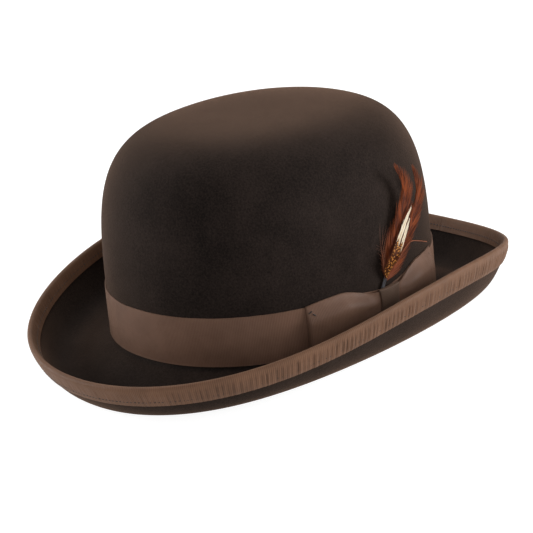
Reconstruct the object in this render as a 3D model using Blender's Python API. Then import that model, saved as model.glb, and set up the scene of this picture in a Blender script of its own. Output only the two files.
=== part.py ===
# A felt bowler hat with a curled, bound brim, a ribbon band, a flat bow and a pull-out bunch of feathers.
# Sizes are in metres. +Z is up, -Y is the wearer's front, +X the wearer's left, where the bow is.
import math

import bmesh
import bpy
import numpy as np
from mathutils import Matrix

# Felt crown: an oval plan, upright walls and a rounded top.
CROWN_HALF_LENGTH = 0.1025
CROWN_HALF_WIDTH = 0.0880
CROWN_HEIGHT = 0.1210
OVAL_FULLNESS = 2.10
WALL_FULLNESS = 4.26
TOP_FULLNESS = 4.80
FELT = 0.0025
CORNER = 0.0030

# Felt brim: how far its edge stands out, how high that edge curls, and its slopes.
REACH_SIDE = 0.0320
REACH_END = 0.0510
CURL_SIDE = 0.0330
CURL_FRONT = 0.0064
CURL_BACK = 0.0084
CURL_LAG = 0.205
EDGE_SLOPE_SIDE = math.radians(77.5)
EDGE_SLOPE_END = math.radians(66.5)
ROOT_SLOPE_SIDE = math.radians(10.0)
ROOT_SLOPE_FRONT = math.radians(-22.5)
ROOT_SLOPE_BACK = math.radians(-29.95)
ROOT_PULL = 0.475
EDGE_PULL = 0.755
REST_FLAT = 0.0004

# Fits shared by every piece.
GAP = 0.0003
RIBBON = 0.0005
SATIN = 0.0003
THREAD_RADIUS = 0.00025

# Brim binding and hat band.
BINDING_WIDTH = 0.0110
BINDING_TOP_WIDTH = 0.0076
STITCH_INSET = 0.0032
BAND_HEIGHT = 0.0305
BAND_FOOT = 0.75
BAND_DIP = 0.0035
BAND_DIP_REACH = 0.0240

# Bow on the band, and the small bow inside on the sweatband.
BOW_ANGLE = math.radians(2.2)
BOW = {
    "lift": GAP + RIBBON,
    "loop_length": 0.0550,
    "low": 0.0025,
    "high": BAND_HEIGHT + 0.0020,
    "pinch_low": 0.0130,
    "pinch_high": BAND_HEIGHT - 0.0030,
    "fold_radius": 0.0010,
    "swell": 0.0022,
    "knot_half_width": 0.0080,
    "settle": 0.0120,
    "ribbon": RIBBON,
}
SMALL_BOW = {
    "lift": 0.0,
    "loop_length": 0.0130,
    "low": 0.0015,
    "high": 0.0085,
    "pinch_low": 0.0030,
    "pinch_high": 0.0070,
    "fold_radius": 0.0006,
    "swell": 0.0008,
    "knot_half_width": 0.0020,
    "settle": 0.0040,
    "ribbon": SATIN,
}
TACK_LENGTH = 0.0035
TACK_INSET = 0.0035
TACK_DROP = 0.0045

# Feather bunch, tucked down behind the knot.
FEATHER_LEAN = math.radians(30.0)
STEM_TOP_HEIGHT = BOW["pinch_high"] + 0.0040
STEM_BELOW = 0.0120
STEM_ABOVE = 0.0020
STEM_THICK = 0.0016
STEM_WIDE = 0.0030
QUILL = 0.0008
VANE_EDGE = 0.0003
ROOT_SPACING = 0.0011
LAYER_SPACING = 0.0010

# Inside: leather sweatband on a reed, satin lining.
LEATHER = 0.0008
SWEATBAND_DEPTH = 0.0045
SWEATBAND_TOP = 0.0380
SWEATBAND_FOOT = -0.0016
REED_RADIUS = 0.0007
REED_TAPE = 0.0003
SEAM_TOP = 0.0340
SEAM_FOOT = 0.0120
SEAM_HALF_WIDTH = 0.0022
LINING_FOOT = 0.0050
PIPING_RADIUS = 0.0006

# Mesh fineness.
COLUMNS = 56
BRIM_ROWS = 12
CORNER_ROWS = 3
CROWN_ROWS = 14
TINY = 1e-4


def clear_scene():
    for thing in list(bpy.data.objects):
        bpy.data.objects.remove(thing, do_unlink=True)


def signed_power(value, power):
    return math.copysign(abs(value) ** power, value)


def oval(angle):
    # A point of the crown's oval foot and the level direction that faces straight out of it.
    x = CROWN_HALF_WIDTH * signed_power(math.cos(angle), 2.0 / OVAL_FULLNESS)
    y = CROWN_HALF_LENGTH * signed_power(math.sin(angle), 2.0 / OVAL_FULLNESS)
    out_x = signed_power(math.cos(angle), 2.0 - 2.0 / OVAL_FULLNESS) / CROWN_HALF_WIDTH
    out_y = signed_power(math.sin(angle), 2.0 - 2.0 / OVAL_FULLNESS) / CROWN_HALF_LENGTH
    out = np.array([out_x, out_y, 0.0])
    return np.array([x, y, 0.0]), out / np.linalg.norm(out)


def round_the_head(angle, side, front, back):
    # A size that eases from its value at the sides to its values at the front and back.
    turn = math.sin(angle - CURL_LAG * math.cos(angle))
    middle = (front + back) / 2.0
    return side + (middle - side) * turn ** 2 + (back - front) / 2.0 * turn ** 3


def brim_curve(angle, share):
    # The top face of the brim: how far out and how high it is, from the crown (0) to the edge (1).
    reach = REACH_SIDE + (REACH_END - REACH_SIDE) * math.sin(angle) ** 2
    curl = round_the_head(angle, CURL_SIDE, CURL_FRONT, CURL_BACK)
    root = round_the_head(angle, ROOT_SLOPE_SIDE, ROOT_SLOPE_FRONT, ROOT_SLOPE_BACK)
    edge = round_the_head(angle, EDGE_SLOPE_SIDE, EDGE_SLOPE_END, EDGE_SLOPE_END)
    chord = math.hypot(reach, curl)
    first = ROOT_PULL * chord * np.array([math.cos(root), math.sin(root)])
    last = np.array([reach, curl])
    second = last - EDGE_PULL * chord * np.array([math.cos(edge), math.sin(edge)])
    rest = 1.0 - share
    return 3.0 * rest ** 2 * share * first + 3.0 * rest * share ** 2 * second + share ** 3 * last


def corner_share(angle):
    # Where along the brim curve the rounded corner against the crown begins.
    reach = REACH_SIDE + (REACH_END - REACH_SIDE) * math.sin(angle) ** 2
    curl = round_the_head(angle, CURL_SIDE, CURL_FRONT, CURL_BACK)
    return CORNER / (3.0 * ROOT_PULL * math.hypot(reach, curl))


def crown_scale(height):
    return (1.0 - (max(height, 0.0) / CROWN_HEIGHT) ** WALL_FULLNESS) ** (1.0 / TOP_FULLNESS)


def crown_table():
    # Heights and plan scales up the crown, spaced by both distance and bend so the shoulder is finest.
    turn = np.linspace(0.0, math.pi / 2.0, 900)
    heights = CROWN_HEIGHT * np.sin(turn) ** (2.0 / WALL_FULLNESS)
    scales = np.abs(np.cos(turn)) ** (2.0 / TOP_FULLNESS)
    scales[-1] = 0.0
    keep = heights > CORNER
    heights = np.concatenate([[CORNER], heights[keep]])
    scales = np.concatenate([[crown_scale(CORNER)], scales[keep]])
    steps_up = np.diff(heights)
    steps_in = -np.diff(scales) * (CROWN_HALF_LENGTH + CROWN_HALF_WIDTH) / 2.0
    distance = np.concatenate([[0.0], np.cumsum(np.hypot(steps_up, steps_in))])
    slope = np.arctan2(steps_in, steps_up)
    bend = np.concatenate([[0.0], slope])
    share = (distance / distance[-1] + bend / bend[-1]) / 2.0
    return share, heights, scales


CROWN_SHARES, CROWN_HEIGHTS, CROWN_SCALES = crown_table()


def face_point(angle, row):
    # A point of the felt's outer face. Rows 0 to 1 cross the brim inward from its edge,
    # 1 to 2 turn the corner, and 2 to 3 climb the crown to the middle of its top.
    foot, out = oval(angle)
    if row <= 2.0:
        start = corner_share(angle)
        if row <= 1.0:
            across, up = brim_curve(angle, 1.0 - row * (1.0 - start))
        else:
            turn = row - 1.0
            across, up = brim_curve(angle, start) * (1.0 - turn) ** 2 + np.array([0.0, CORNER]) * turn ** 2
        return foot + out * across + np.array([0.0, 0.0, up])
    height = float(np.interp(row - 2.0, CROWN_SHARES, CROWN_HEIGHTS))
    scale = float(np.interp(row - 2.0, CROWN_SHARES, CROWN_SCALES))
    return foot * scale + np.array([0.0, 0.0, height])


def face_normal(angle, row):
    # The direction straight out of the felt's outer face.
    if row > 3.0 - TINY:
        return np.array([0.0, 0.0, 1.0])
    along = face_point(angle + TINY, row) - face_point(angle - TINY, row)
    inward = face_point(angle, row + TINY) - face_point(angle, max(row - TINY, 0.0))
    normal = np.cross(along, inward)
    return normal / np.linalg.norm(normal)


def felt_point(angle, row, depth):
    # A point below (or, with a negative depth, above) the felt's outer face.
    return face_point(angle, row) - face_normal(angle, row) * depth


def wall_point(angle, height, outward):
    # A point beside the crown's wall at a height above the corner.
    foot, out = oval(angle)
    return foot * crown_scale(height) + out * outward + np.array([0.0, 0.0, height])


def row_from_edge(angle, distance):
    # The brim row that lies a distance in from the edge, measured along the top face.
    rows = np.linspace(0.0, 0.8, 30)
    points = [face_point(angle, row) for row in rows]
    steps = [float(np.linalg.norm(b - a)) for a, b in zip(points, points[1:])]
    return float(np.interp(distance, np.concatenate([[0.0], np.cumsum(steps)]), rows))


def row_at_height(height):
    return 2.0 + float(np.interp(height, CROWN_HEIGHTS, CROWN_SHARES))


def crown_rows():
    return [2.0 + step / CROWN_ROWS for step in range(CROWN_ROWS)]


def lowest_felt(angle):
    return min(float(felt_point(angle, row, FELT)[2]) for row in np.linspace(0.2, 1.0, 60))


def rest_lift():
    # How far the corner stands above the table: the felt is pressed flat by REST_FLAT where it rests.
    front = lowest_felt(-math.pi / 2.0)
    back = lowest_felt(math.pi / 2.0)
    return -max(front, back) - REST_FLAT


LIFT = rest_lift()


def wall_length_table():
    angles = np.linspace(-math.pi, math.pi, 1441)
    points = [oval(angle)[0] for angle in angles]
    steps = [float(np.linalg.norm(b - a)) for a, b in zip(points, points[1:])]
    return angles, np.concatenate([[0.0], np.cumsum(steps)])


WALL_ANGLES, WALL_LENGTHS = wall_length_table()


def angle_along(start, distance):
    # The angle reached by going a distance round the wall from a starting angle.
    turned = math.remainder(start, 2.0 * math.pi)
    from_start = float(np.interp(turned, WALL_ANGLES, WALL_LENGTHS)) + distance
    return float(np.interp(from_start, WALL_LENGTHS, WALL_ANGLES))


def ease(value):
    value = min(max(value, 0.0), 1.0)
    return value * value * (3.0 - 2.0 * value)


def column_angles():
    return [2.0 * math.pi * step / COLUMNS for step in range(COLUMNS)]


def strip_angles(seam):
    # Angles once round the head from one side of a seam to the other, on the felt's own columns.
    half_gap = GAP / 2.0 / CROWN_HALF_WIDTH
    step = 2.0 * math.pi / COLUMNS
    first = math.floor(seam / step) + 1
    between = [(first + count) * step for count in range(COLUMNS)]
    start = seam + half_gap
    end = seam + 2.0 * math.pi - half_gap
    inner = [angle for angle in between if start + step / 8.0 < angle < end - step / 8.0]
    return [start] + inner + [end]


def make_material(name, colour, roughness):
    material = bpy.data.materials.new(name + "_finish")
    material.use_nodes = True
    shader = material.node_tree.nodes["Principled BSDF"]
    shader.inputs["Base Color"].default_value = (*colour, 1.0)
    shader.inputs["Roughness"].default_value = roughness
    shader.inputs["Metallic"].default_value = 0.0
    material.diffuse_color = (*colour, 1.0)
    return material


def make_object(name, points, faces, colour, roughness, parent):
    mesh = bpy.data.meshes.new(name)
    mesh.from_pydata([tuple(float(part) for part in point) for point in points], [], faces)
    shaped = bmesh.new()
    shaped.from_mesh(mesh)
    bmesh.ops.recalc_face_normals(shaped, faces=shaped.faces)
    shaped.to_mesh(mesh)
    shaped.free()
    mesh.shade_smooth()
    mesh.set_sharp_from_angle(angle=math.radians(50.0))
    mesh.materials.append(make_material(name, colour, roughness))
    made = bpy.data.objects.new(name, mesh)
    bpy.context.scene.collection.objects.link(made)
    made.parent = parent
    return made


def ring_faces(count, rows, first_point):
    faces = []
    for row in range(rows - 1):
        for step in range(count):
            after = (step + 1) % count
            a = first_point + row * count
            b = a + count
            faces.append((a + step, a + after, b + after, b + step))
    return faces


def closed_rings(rings, first_pole, last_pole):
    # A closed skin from a pole, through a stack of rings, to another pole.
    count = len(rings[0])
    points = [first_pole]
    for ring in rings:
        points.extend(ring)
    points.append(last_pole)
    faces = ring_faces(count, len(rings), 1)
    last_ring = 1 + (len(rings) - 1) * count
    for step in range(count):
        after = (step + 1) % count
        faces.append((0, 1 + after, 1 + step))
        faces.append((len(points) - 1, last_ring + step, last_ring + after))
    return points, faces


def sheet_between(inner, outer, closed):
    # A closed body between two matching skins, each a list of columns of points.
    columns = len(inner)
    rows = len(inner[0])
    points = [point for column in inner for point in column] + [point for column in outer for point in column]
    half = columns * rows
    last = columns if closed else columns - 1
    faces = []
    for column in range(last):
        here = column * rows
        there = ((column + 1) % columns) * rows
        for row in range(rows - 1):
            faces.append((here + row, there + row, there + row + 1, here + row + 1))
            faces.append((half + here + row, half + here + row + 1, half + there + row + 1, half + there + row))
        for row in (0, rows - 1):
            faces.append((here + row, half + here + row, half + there + row, there + row))
    if not closed:
        for column in (0, columns - 1):
            here = column * rows
            for row in range(rows - 1):
                faces.append((here + row, here + row + 1, half + here + row + 1, half + here + row))
    return points, faces


def rod_along(path, radius, sides, closed):
    # A round rod that follows a path; its sides are carried along without twisting.
    count = len(path)
    path = [np.array(point, float) for point in path]
    rings = []
    side = None
    for step in range(count):
        before = path[step - 1] if closed or step > 0 else path[0]
        after = path[(step + 1) % count] if closed or step < count - 1 else path[-1]
        forward = (after - before) / np.linalg.norm(after - before)
        if side is None:
            side = np.cross(forward, [0.0, 0.0, 1.0])
            if np.linalg.norm(side) < 0.3:
                side = np.cross(forward, [1.0, 0.0, 0.0])
        side = side - forward * float(side @ forward)
        side = side / np.linalg.norm(side)
        other = np.cross(forward, side)
        ring = []
        for corner in range(sides):
            turn = 2.0 * math.pi * corner / sides
            ring.append(path[step] + radius * (math.cos(turn) * side + math.sin(turn) * other))
        rings.append(ring)
    points = [point for ring in rings for point in ring]
    faces = ring_faces(sides, count, 0)
    if closed:
        last = (count - 1) * sides
        for corner in range(sides):
            after = (corner + 1) % sides
            faces.append((last + corner, last + after, after, corner))
    else:
        faces.append(tuple(range(sides)))
        faces.append(tuple(range((count - 1) * sides, count * sides)))
    return points, faces


def make_felt(parent):
    angles = column_angles()
    brim = [step / BRIM_ROWS for step in range(BRIM_ROWS)]
    corner = [1.0 + step / CORNER_ROWS for step in range(CORNER_ROWS)]
    rows = brim + corner + crown_rows()
    outer = [[felt_point(angle, row, 0.0) for angle in angles] for row in reversed(rows)]
    inner = [[felt_point(angle, row, FELT) for angle in angles] for row in rows]
    for ring in inner:
        for point in ring:
            point[2] = max(point[2], -LIFT)
    edge = []
    for angle in angles:
        top = felt_point(angle, 0.0, 0.0)
        under = felt_point(angle, 0.0, FELT)
        outward = top - face_point(angle, 0.01)
        outward = outward / np.linalg.norm(outward)
        edge.append((top + under) / 2.0 + outward * FELT / 2.0)
    crown_top = np.array([0.0, 0.0, CROWN_HEIGHT])
    crown_inside = np.array([0.0, 0.0, CROWN_HEIGHT - FELT])
    points, faces = closed_rings(outer + [edge] + inner, crown_top, crown_inside)
    make_object("felt_body", points, faces, (0.036, 0.026, 0.022), 0.92, parent)


def binding_skin(angle, spare):
    # The section of the ribbon folded over the brim edge, held off the felt by a spare distance.
    shares = (1.0, 0.66, 0.33, 0.0)
    upper = [row_from_edge(angle, BINDING_TOP_WIDTH * share) for share in shares]
    under = [row_from_edge(angle, BINDING_WIDTH * share) for share in shares]
    skin = [felt_point(angle, row, -spare) for row in upper]
    normal = face_normal(angle, 0.0)
    middle = felt_point(angle, 0.0, FELT / 2.0)
    outward = face_point(angle, 0.0) - face_point(angle, 0.01)
    outward = outward / np.linalg.norm(outward)
    for turn in (45.0, 90.0, 135.0):
        lean = math.radians(turn)
        skin.append(middle + (FELT / 2.0 + spare) * (math.cos(lean) * normal + math.sin(lean) * outward))
    skin.extend(felt_point(angle, row, FELT + spare) for row in reversed(under))
    return skin


def make_binding(parent):
    angles = strip_angles(math.pi / 2.0)
    near = [binding_skin(angle, GAP) for angle in angles]
    far = [binding_skin(angle, GAP + RIBBON) for angle in angles]
    points, faces = sheet_between(near, far, False)
    make_object("brim_binding", points, faces, (0.110, 0.070, 0.050), 0.70, parent)


def make_binding_thread(parent):
    depth = FELT + GAP + RIBBON + GAP + THREAD_RADIUS
    inset = BINDING_WIDTH - STITCH_INSET
    path = [felt_point(angle, row_from_edge(angle, inset), depth) for angle in column_angles()]
    points, faces = rod_along(path, THREAD_RADIUS, 5, True)
    make_object("binding_thread", points, faces, (0.030, 0.020, 0.015), 0.60, parent)


def band_top(angle):
    # Height of the band's upper edge, which the bow's knot draws down a little.
    turn = math.remainder(angle - BOW_ANGLE, 2.0 * math.pi)
    away = abs(turn) * CROWN_HALF_WIDTH / BAND_DIP_REACH
    return BAND_HEIGHT - BAND_DIP * (1.0 - ease(away))


def band_skin(angles, spare):
    # One face of the band, as columns that run up from the crown's corner to the band's top.
    skin = []
    for angle in angles:
        rows = [1.0 + BAND_FOOT, 2.0 - (1.0 - BAND_FOOT) / 2.0]
        rows += [row_at_height(band_top(angle) * share) for share in (0.1, 0.4, 0.7, 1.0)]
        skin.append([felt_point(angle, row, -spare) for row in rows])
    return skin


def make_band(parent):
    angles = strip_angles(BOW_ANGLE)
    points, faces = sheet_between(band_skin(angles, GAP), band_skin(angles, GAP + RIBBON), False)
    make_object("hat_band", points, faces, (0.095, 0.062, 0.047), 0.65, parent)


def bow_layers(bow, stem_thick):
    # Distances out from the bow's base at which the middle of each ribbon layer lies.
    ribbon = bow["ribbon"]
    loop_back = bow["lift"] + 2.0 * GAP + ribbon / 2.0
    knot_back = bow["lift"] + GAP + stem_thick + GAP + ribbon / 2.0
    pinch_back = knot_back + ribbon + GAP
    pinch_front = pinch_back + ribbon + GAP
    knot_front = pinch_front + ribbon + GAP
    return loop_back, knot_back, pinch_back, pinch_front, knot_front


def loop_edges(bow, distance):
    # Lower and upper edge heights of a loop at a distance from the middle of the knot.
    run = (distance - bow["knot_half_width"]) / (bow["loop_length"] * 0.62)
    share = ease(run)
    low = bow["pinch_low"] + (bow["low"] - bow["pinch_low"]) * share
    high = bow["pinch_high"] + (bow["high"] - bow["pinch_high"]) * share
    return low, high


def loop_front(bow, distance, stem_thick):
    # How far out the front layer of a loop stands at a distance from the middle of the knot.
    loop_back, _, _, pinch_front, _ = bow_layers(bow, stem_thick)
    start = bow["knot_half_width"]
    run = min(max((distance - start) / (bow["loop_length"] - start), 0.0), 1.0)
    end = loop_back + 2.0 * bow["fold_radius"]
    return pinch_front + (end - pinch_front) * ease(run) + bow["swell"] * math.sin(math.pi * run)


def loop_path(bow, stem_thick):
    # The loop seen from above: out along the back layer, round the fold, and back along the front.
    loop_back, _, pinch_back, _, _ = bow_layers(bow, stem_thick)
    start = bow["knot_half_width"]
    fold = bow["fold_radius"]
    straight = bow["loop_length"] - fold
    distances = [GAP / 2.0, start * 0.5, start]
    distances += [start + (straight - start) * share for share in (0.12, 0.25, 0.4, 0.6, 0.8, 1.0)]
    path = []
    for distance in distances:
        settled = ease((distance - start) / bow["settle"])
        path.append((distance, pinch_back + (loop_back - pinch_back) * settled))
    for turn in (45.0, 90.0, 135.0):
        lean = math.radians(turn)
        path.append((straight + fold * math.sin(lean), loop_back + fold * (1.0 - math.cos(lean))))
    for distance in reversed(distances):
        path.append((distance, loop_front(bow, distance, stem_thick)))
    return path


def offset_path(path, spare, closed=False):
    # A flat path moved sideways by a spare distance.
    moved = []
    count = len(path)
    for step, (along, out) in enumerate(path):
        before = path[step - 1] if closed or step > 0 else path[0]
        after = path[(step + 1) % count] if closed or step < count - 1 else path[-1]
        run = after[0] - before[0]
        rise = after[1] - before[1]
        size = math.hypot(run, rise)
        moved.append((along - spare * rise / size, out + spare * run / size))
    return moved


def make_loop(name, bow, place, way, stem_thick, colour, parent):
    # One hairpin loop of flat ribbon, way +1 towards larger angles and -1 towards smaller.
    path = loop_path(bow, stem_thick)
    skins = []
    for spare in (-bow["ribbon"] / 2.0, bow["ribbon"] / 2.0):
        skin = []
        for (along, out), (plain, _) in zip(offset_path(path, spare), path):
            low, high = loop_edges(bow, plain)
            heights = [low + (high - low) * share for share in (0.0, 0.25, 0.5, 0.75, 1.0)]
            skin.append([place(way * along, height, out) for height in heights])
        skins.append(skin)
    points, faces = sheet_between(skins[0], skins[1], False)
    make_object(name, points, faces, colour, 0.60, parent)


def make_knot(name, bow, place, stem_thick, colour, parent):
    # The short ribbon wrapped right round the pinched middle of the bow.
    _, knot_back, _, _, knot_front = bow_layers(bow, stem_thick)
    ribbon = bow["ribbon"]
    low = bow["pinch_low"] - GAP - ribbon / 2.0
    high = bow["pinch_high"] + GAP + ribbon / 2.0
    round_off = (knot_front - knot_back) / 2.0
    centre = (knot_front + knot_back) / 2.0
    path = []
    for middle, first in ((high, 0.0), (low, math.pi)):
        for step in range(5):
            turn = first + math.pi * step / 4.0
            path.append((middle + round_off * math.sin(turn), centre + round_off * math.cos(turn)))
    path = path[:5] + [(high + (low - high) * share, knot_back) for share in (0.33, 0.67)] + path[5:]
    path += [(low + (high - low) * share, knot_front) for share in (0.33, 0.67)]
    half = bow["knot_half_width"]
    across = [-half, -half / 2.0, 0.0, half / 2.0, half]
    skins = []
    for spare in (-ribbon / 2.0, ribbon / 2.0):
        skin = []
        for height, out in offset_path(path, spare, closed=True):
            skin.append([place(along, height, out) for along in across])
        skins.append(skin)
    points, faces = sheet_between(skins[0], skins[1], True)
    make_object(name, points, faces, colour, 0.60, parent)


def outside_place(along, height, out):
    return wall_point(angle_along(BOW_ANGLE, along), height, out)


def inside_place(along, height, out):
    depth = SWEATBAND_DEPTH + LEATHER + out
    return wall_point(angle_along(math.pi / 2.0, along), height, -depth)


def make_tack(name, way, parent):
    # A short stitch that holds the end of a loop down.
    end = BOW["loop_length"] - TACK_INSET
    height = BOW["high"] - TACK_DROP
    path = []
    for step in range(4):
        distance = end - TACK_LENGTH * (step / 3.0)
        out = loop_front(BOW, distance, STEM_THICK) + RIBBON + GAP + THREAD_RADIUS
        path.append(outside_place(way * distance, height, out))
    points, faces = rod_along(path, THREAD_RADIUS, 6, False)
    make_object(name, points, faces, (0.020, 0.014, 0.011), 0.60, parent)


def make_bow(parent):
    colour = (0.125, 0.084, 0.066)
    make_loop("bow_front_loop", BOW, outside_place, -1.0, STEM_THICK, colour, parent)
    make_loop("bow_rear_loop", BOW, outside_place, 1.0, STEM_THICK, colour, parent)
    make_knot("bow_knot", BOW, outside_place, STEM_THICK, (0.080, 0.052, 0.040), parent)
    make_tack("bow_front_tack", -1.0, parent)
    make_tack("bow_rear_tack", 1.0, parent)


def make_small_bow(parent):
    colour = (0.060, 0.042, 0.033)
    make_loop("sweatband_bow_left", SMALL_BOW, inside_place, -1.0, 0.0, colour, parent)
    make_loop("sweatband_bow_right", SMALL_BOW, inside_place, 1.0, 0.0, colour, parent)
    make_knot("sweatband_bow_knot", SMALL_BOW, inside_place, 0.0, colour, parent)


def make_feather_axis(parent):
    # An empty on the line along which the feather bunch is pulled out, its Z axis on that line.
    _, out = oval(BOW_ANGLE)
    tangent = np.array([-out[1], out[0], 0.0])
    up = np.array([0.0, 0.0, 1.0])
    line = tangent * math.sin(FEATHER_LEAN) + up * math.cos(FEATHER_LEAN)
    across = tangent * math.cos(FEATHER_LEAN) - up * math.sin(FEATHER_LEAN)
    centre = BOW["lift"] + GAP + STEM_THICK / 2.0
    axis = bpy.data.objects.new("feather_axis", None)
    bpy.context.scene.collection.objects.link(axis)
    axis.parent = parent
    axis.rotation_mode = "QUATERNION"
    axis.rotation_quaternion = Matrix(np.array([across, -out, line]).T.tolist()).to_quaternion()
    axis.location = wall_point(BOW_ANGLE, STEM_TOP_HEIGHT, centre)
    return axis


def make_stem(axis):
    # The quills bound together: a flat round-sided stem that tapers to its foot.
    sides = 12
    rings = []
    for along, size in ((-STEM_BELOW, 0.7), (-STEM_BELOW * 0.5, 0.9), (0.0, 1.0), (STEM_ABOVE, 0.95)):
        ring = []
        for corner in range(sides):
            turn = 2.0 * math.pi * corner / sides
            wide = STEM_WIDE / 2.0 * size * math.cos(turn)
            thick = STEM_THICK / 2.0 * size * math.sin(turn)
            ring.append(np.array([wide, thick, along]))
        rings.append(ring)
    points, faces = closed_rings(rings, np.array([0.0, 0.0, -STEM_BELOW - GAP]), np.array([0.0, 0.0, STEM_ABOVE]))
    make_object("feather_stem", points, faces, (0.060, 0.035, 0.020), 0.70, axis)


def make_feather(name, side, layer, level, bend, tip, half_width, fullest, colour, axis):
    # One feather: a quill that widens into a thin vane along a curve from the stem to the tip.
    root = np.array([side * ROOT_SPACING / 2.0, STEM_ABOVE + 2.0 * GAP])
    bend = np.array(bend)
    tip = np.array(tip)
    root_out = (layer - 0.6) * ROOT_SPACING
    level_out = (level - 0.5) * LAYER_SPACING
    front = []
    back = []
    steps = 16
    for step in range(steps + 1):
        share = step / steps
        middle = root * (1.0 - share) ** 2 + 2.0 * bend * share * (1.0 - share) + tip * share ** 2
        forward = 2.0 * (1.0 - share) * (bend - root) + 2.0 * share * (tip - bend)
        forward = forward / np.linalg.norm(forward)
        sideways = np.array([forward[1], -forward[0]])
        climb = ease((middle[1] - root[1]) / 0.012)
        out = root_out + (level_out - root_out) * climb
        swell = share ** fullest * (1.0 - share) ** 0.6
        most = (fullest / (fullest + 0.6)) ** fullest * (0.6 / (fullest + 0.6)) ** 0.6
        spread = QUILL / 2.0 + (half_width - QUILL / 2.0) * swell / most * ease((climb - 0.3) / 0.7)
        ridge = QUILL / 2.0 * (1.0 - 0.5 * share)
        offsets = (-spread, -QUILL / 3.0, QUILL / 3.0, spread)
        halves = (VANE_EDGE / 2.0, ridge, ridge, VANE_EDGE / 2.0)
        front.append([])
        back.append([])
        for offset, half in zip(offsets, halves):
            spot = middle + sideways * offset
            front[-1].append(np.array([spot[0], -(out + half), spot[1]]))
            back[-1].append(np.array([spot[0], -(out - half), spot[1]]))
    points, faces = sheet_between(back, front, False)
    make_object(name, points, faces, colour, 0.80, axis)


def make_feathers(axis):
    rust = (0.180, 0.055, 0.022)
    cream = (0.520, 0.400, 0.280)
    make_feather("feather_long_rear", 1.0, 0.0, 0.0, (0.013, 0.044), (-0.008, 0.0695), 0.0060, 1.0, rust, axis)
    make_feather("feather_long_front", -1.0, 0.0, 1.0, (0.003, 0.042), (-0.024, 0.0650), 0.0060, 1.0, rust, axis)
    make_feather("feather_white_rear", 1.0, 1.0, 2.0, (0.0045, 0.022), (0.0043, 0.0385), 0.0014, 1.0, cream, axis)
    make_feather("feather_white_front", -1.0, 1.0, 3.0, (-0.002, 0.024), (0.0025, 0.0450), 0.0014, 1.0, cream, axis)
    make_feather("feather_wisps", -1.0, 2.0, 4.0, (-0.005, 0.010), (-0.015, 0.0240), 0.0040, 1.0, rust, axis)
    make_feather("feather_spotted", 1.0, 2.0, 5.0, (0.000, 0.013), (0.0020, 0.0270), 0.0042, 1.0,
                 (0.200, 0.100, 0.030), axis)


def make_sweatband(parent):
    heights = [SWEATBAND_FOOT + (SWEATBAND_TOP - SWEATBAND_FOOT) * step / 5.0 for step in range(6)]
    angles = strip_angles(math.pi / 2.0)
    near = [[wall_point(angle, height, -SWEATBAND_DEPTH) for height in heights] for angle in angles]
    deeper = SWEATBAND_DEPTH + LEATHER
    far = [[wall_point(angle, height, -deeper) for height in heights] for angle in angles]
    points, faces = sheet_between(near, far, False)
    make_object("sweatband", points, faces, (0.250, 0.120, 0.060), 0.45, parent)


def reed_point(angle):
    # The reed lies in the rounded inner corner, between the felt and the sweatband.
    tape_outside = REED_RADIUS + GAP + REED_TAPE
    depth = FELT + GAP + tape_outside
    inset = SWEATBAND_DEPTH - GAP - tape_outside
    foot, out = oval(angle)
    rows = np.linspace(1.0, 2.2, 25)
    spots = [felt_point(angle, row, depth) for row in rows]
    insets = [-float((spot - foot) @ out) for spot in spots]
    height = float(np.interp(inset, insets, [spot[2] for spot in spots]))
    return foot - out * inset + np.array([0.0, 0.0, height])


def make_reed(parent):
    angles = strip_angles(math.pi / 2.0)
    path = [reed_point(angle) for angle in angles]
    points, faces = rod_along(path, REED_RADIUS, 7, False)
    make_object("sweatband_reed", points, faces, (0.450, 0.360, 0.230), 0.50, parent)


def make_reed_tape(parent):
    # A thin tape folded over the reed, open towards the sweatband.
    skins = []
    for radius in (REED_RADIUS + GAP, REED_RADIUS + GAP + REED_TAPE):
        skin = []
        for angle in strip_angles(math.pi / 2.0):
            centre = reed_point(angle)
            _, out = oval(angle)
            column = []
            for step in range(7):
                turn = math.radians(-150.0 + 300.0 * step / 6.0)
                column.append(centre + radius * (math.cos(turn) * out + np.array([0.0, 0.0, math.sin(turn)])))
            skin.append(column)
        skins.append(skin)
    points, faces = sheet_between(skins[0], skins[1], False)
    make_object("sweatband_reed_tape", points, faces, (0.090, 0.070, 0.055), 0.80, parent)


def make_sweatband_thread(parent):
    # The row of stitching along the foot of the sweatband, on its inner face.
    depth = SWEATBAND_DEPTH + LEATHER + GAP + THREAD_RADIUS
    path = [wall_point(angle, SWEATBAND_FOOT / 2.0, -depth) for angle in column_angles()]
    points, faces = rod_along(path, THREAD_RADIUS, 5, True)
    make_object("sweatband_thread", points, faces, (0.400, 0.300, 0.200), 0.60, parent)


def make_seam_thread(parent):
    # The zigzag that joins the two ends of the sweatband at the back.
    depth = SWEATBAND_DEPTH + LEATHER + GAP + THREAD_RADIUS
    turns = 12
    path = []
    for step in range(turns):
        along = SEAM_HALF_WIDTH * (1.0 if step % 2 else -1.0)
        height = SEAM_FOOT + (SEAM_TOP - SEAM_FOOT) * step / (turns - 1)
        path.append(wall_point(angle_along(math.pi / 2.0, along), height, -depth))
    points, faces = rod_along(path, THREAD_RADIUS, 6, False)
    make_object("sweatband_seam_thread", points, faces, (0.400, 0.300, 0.200), 0.60, parent)


def lining_joint_row():
    # The felt row, well up on the rounded shoulder, where the side lining meets the top disc.
    return crown_rows()[-4]


def row_step(row, distance):
    # The change of row that moves a distance along the crown near a row.
    ahead = float(np.linalg.norm(face_point(0.0, row + 0.01) - face_point(0.0, row)))
    return 0.01 * distance / ahead


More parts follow.
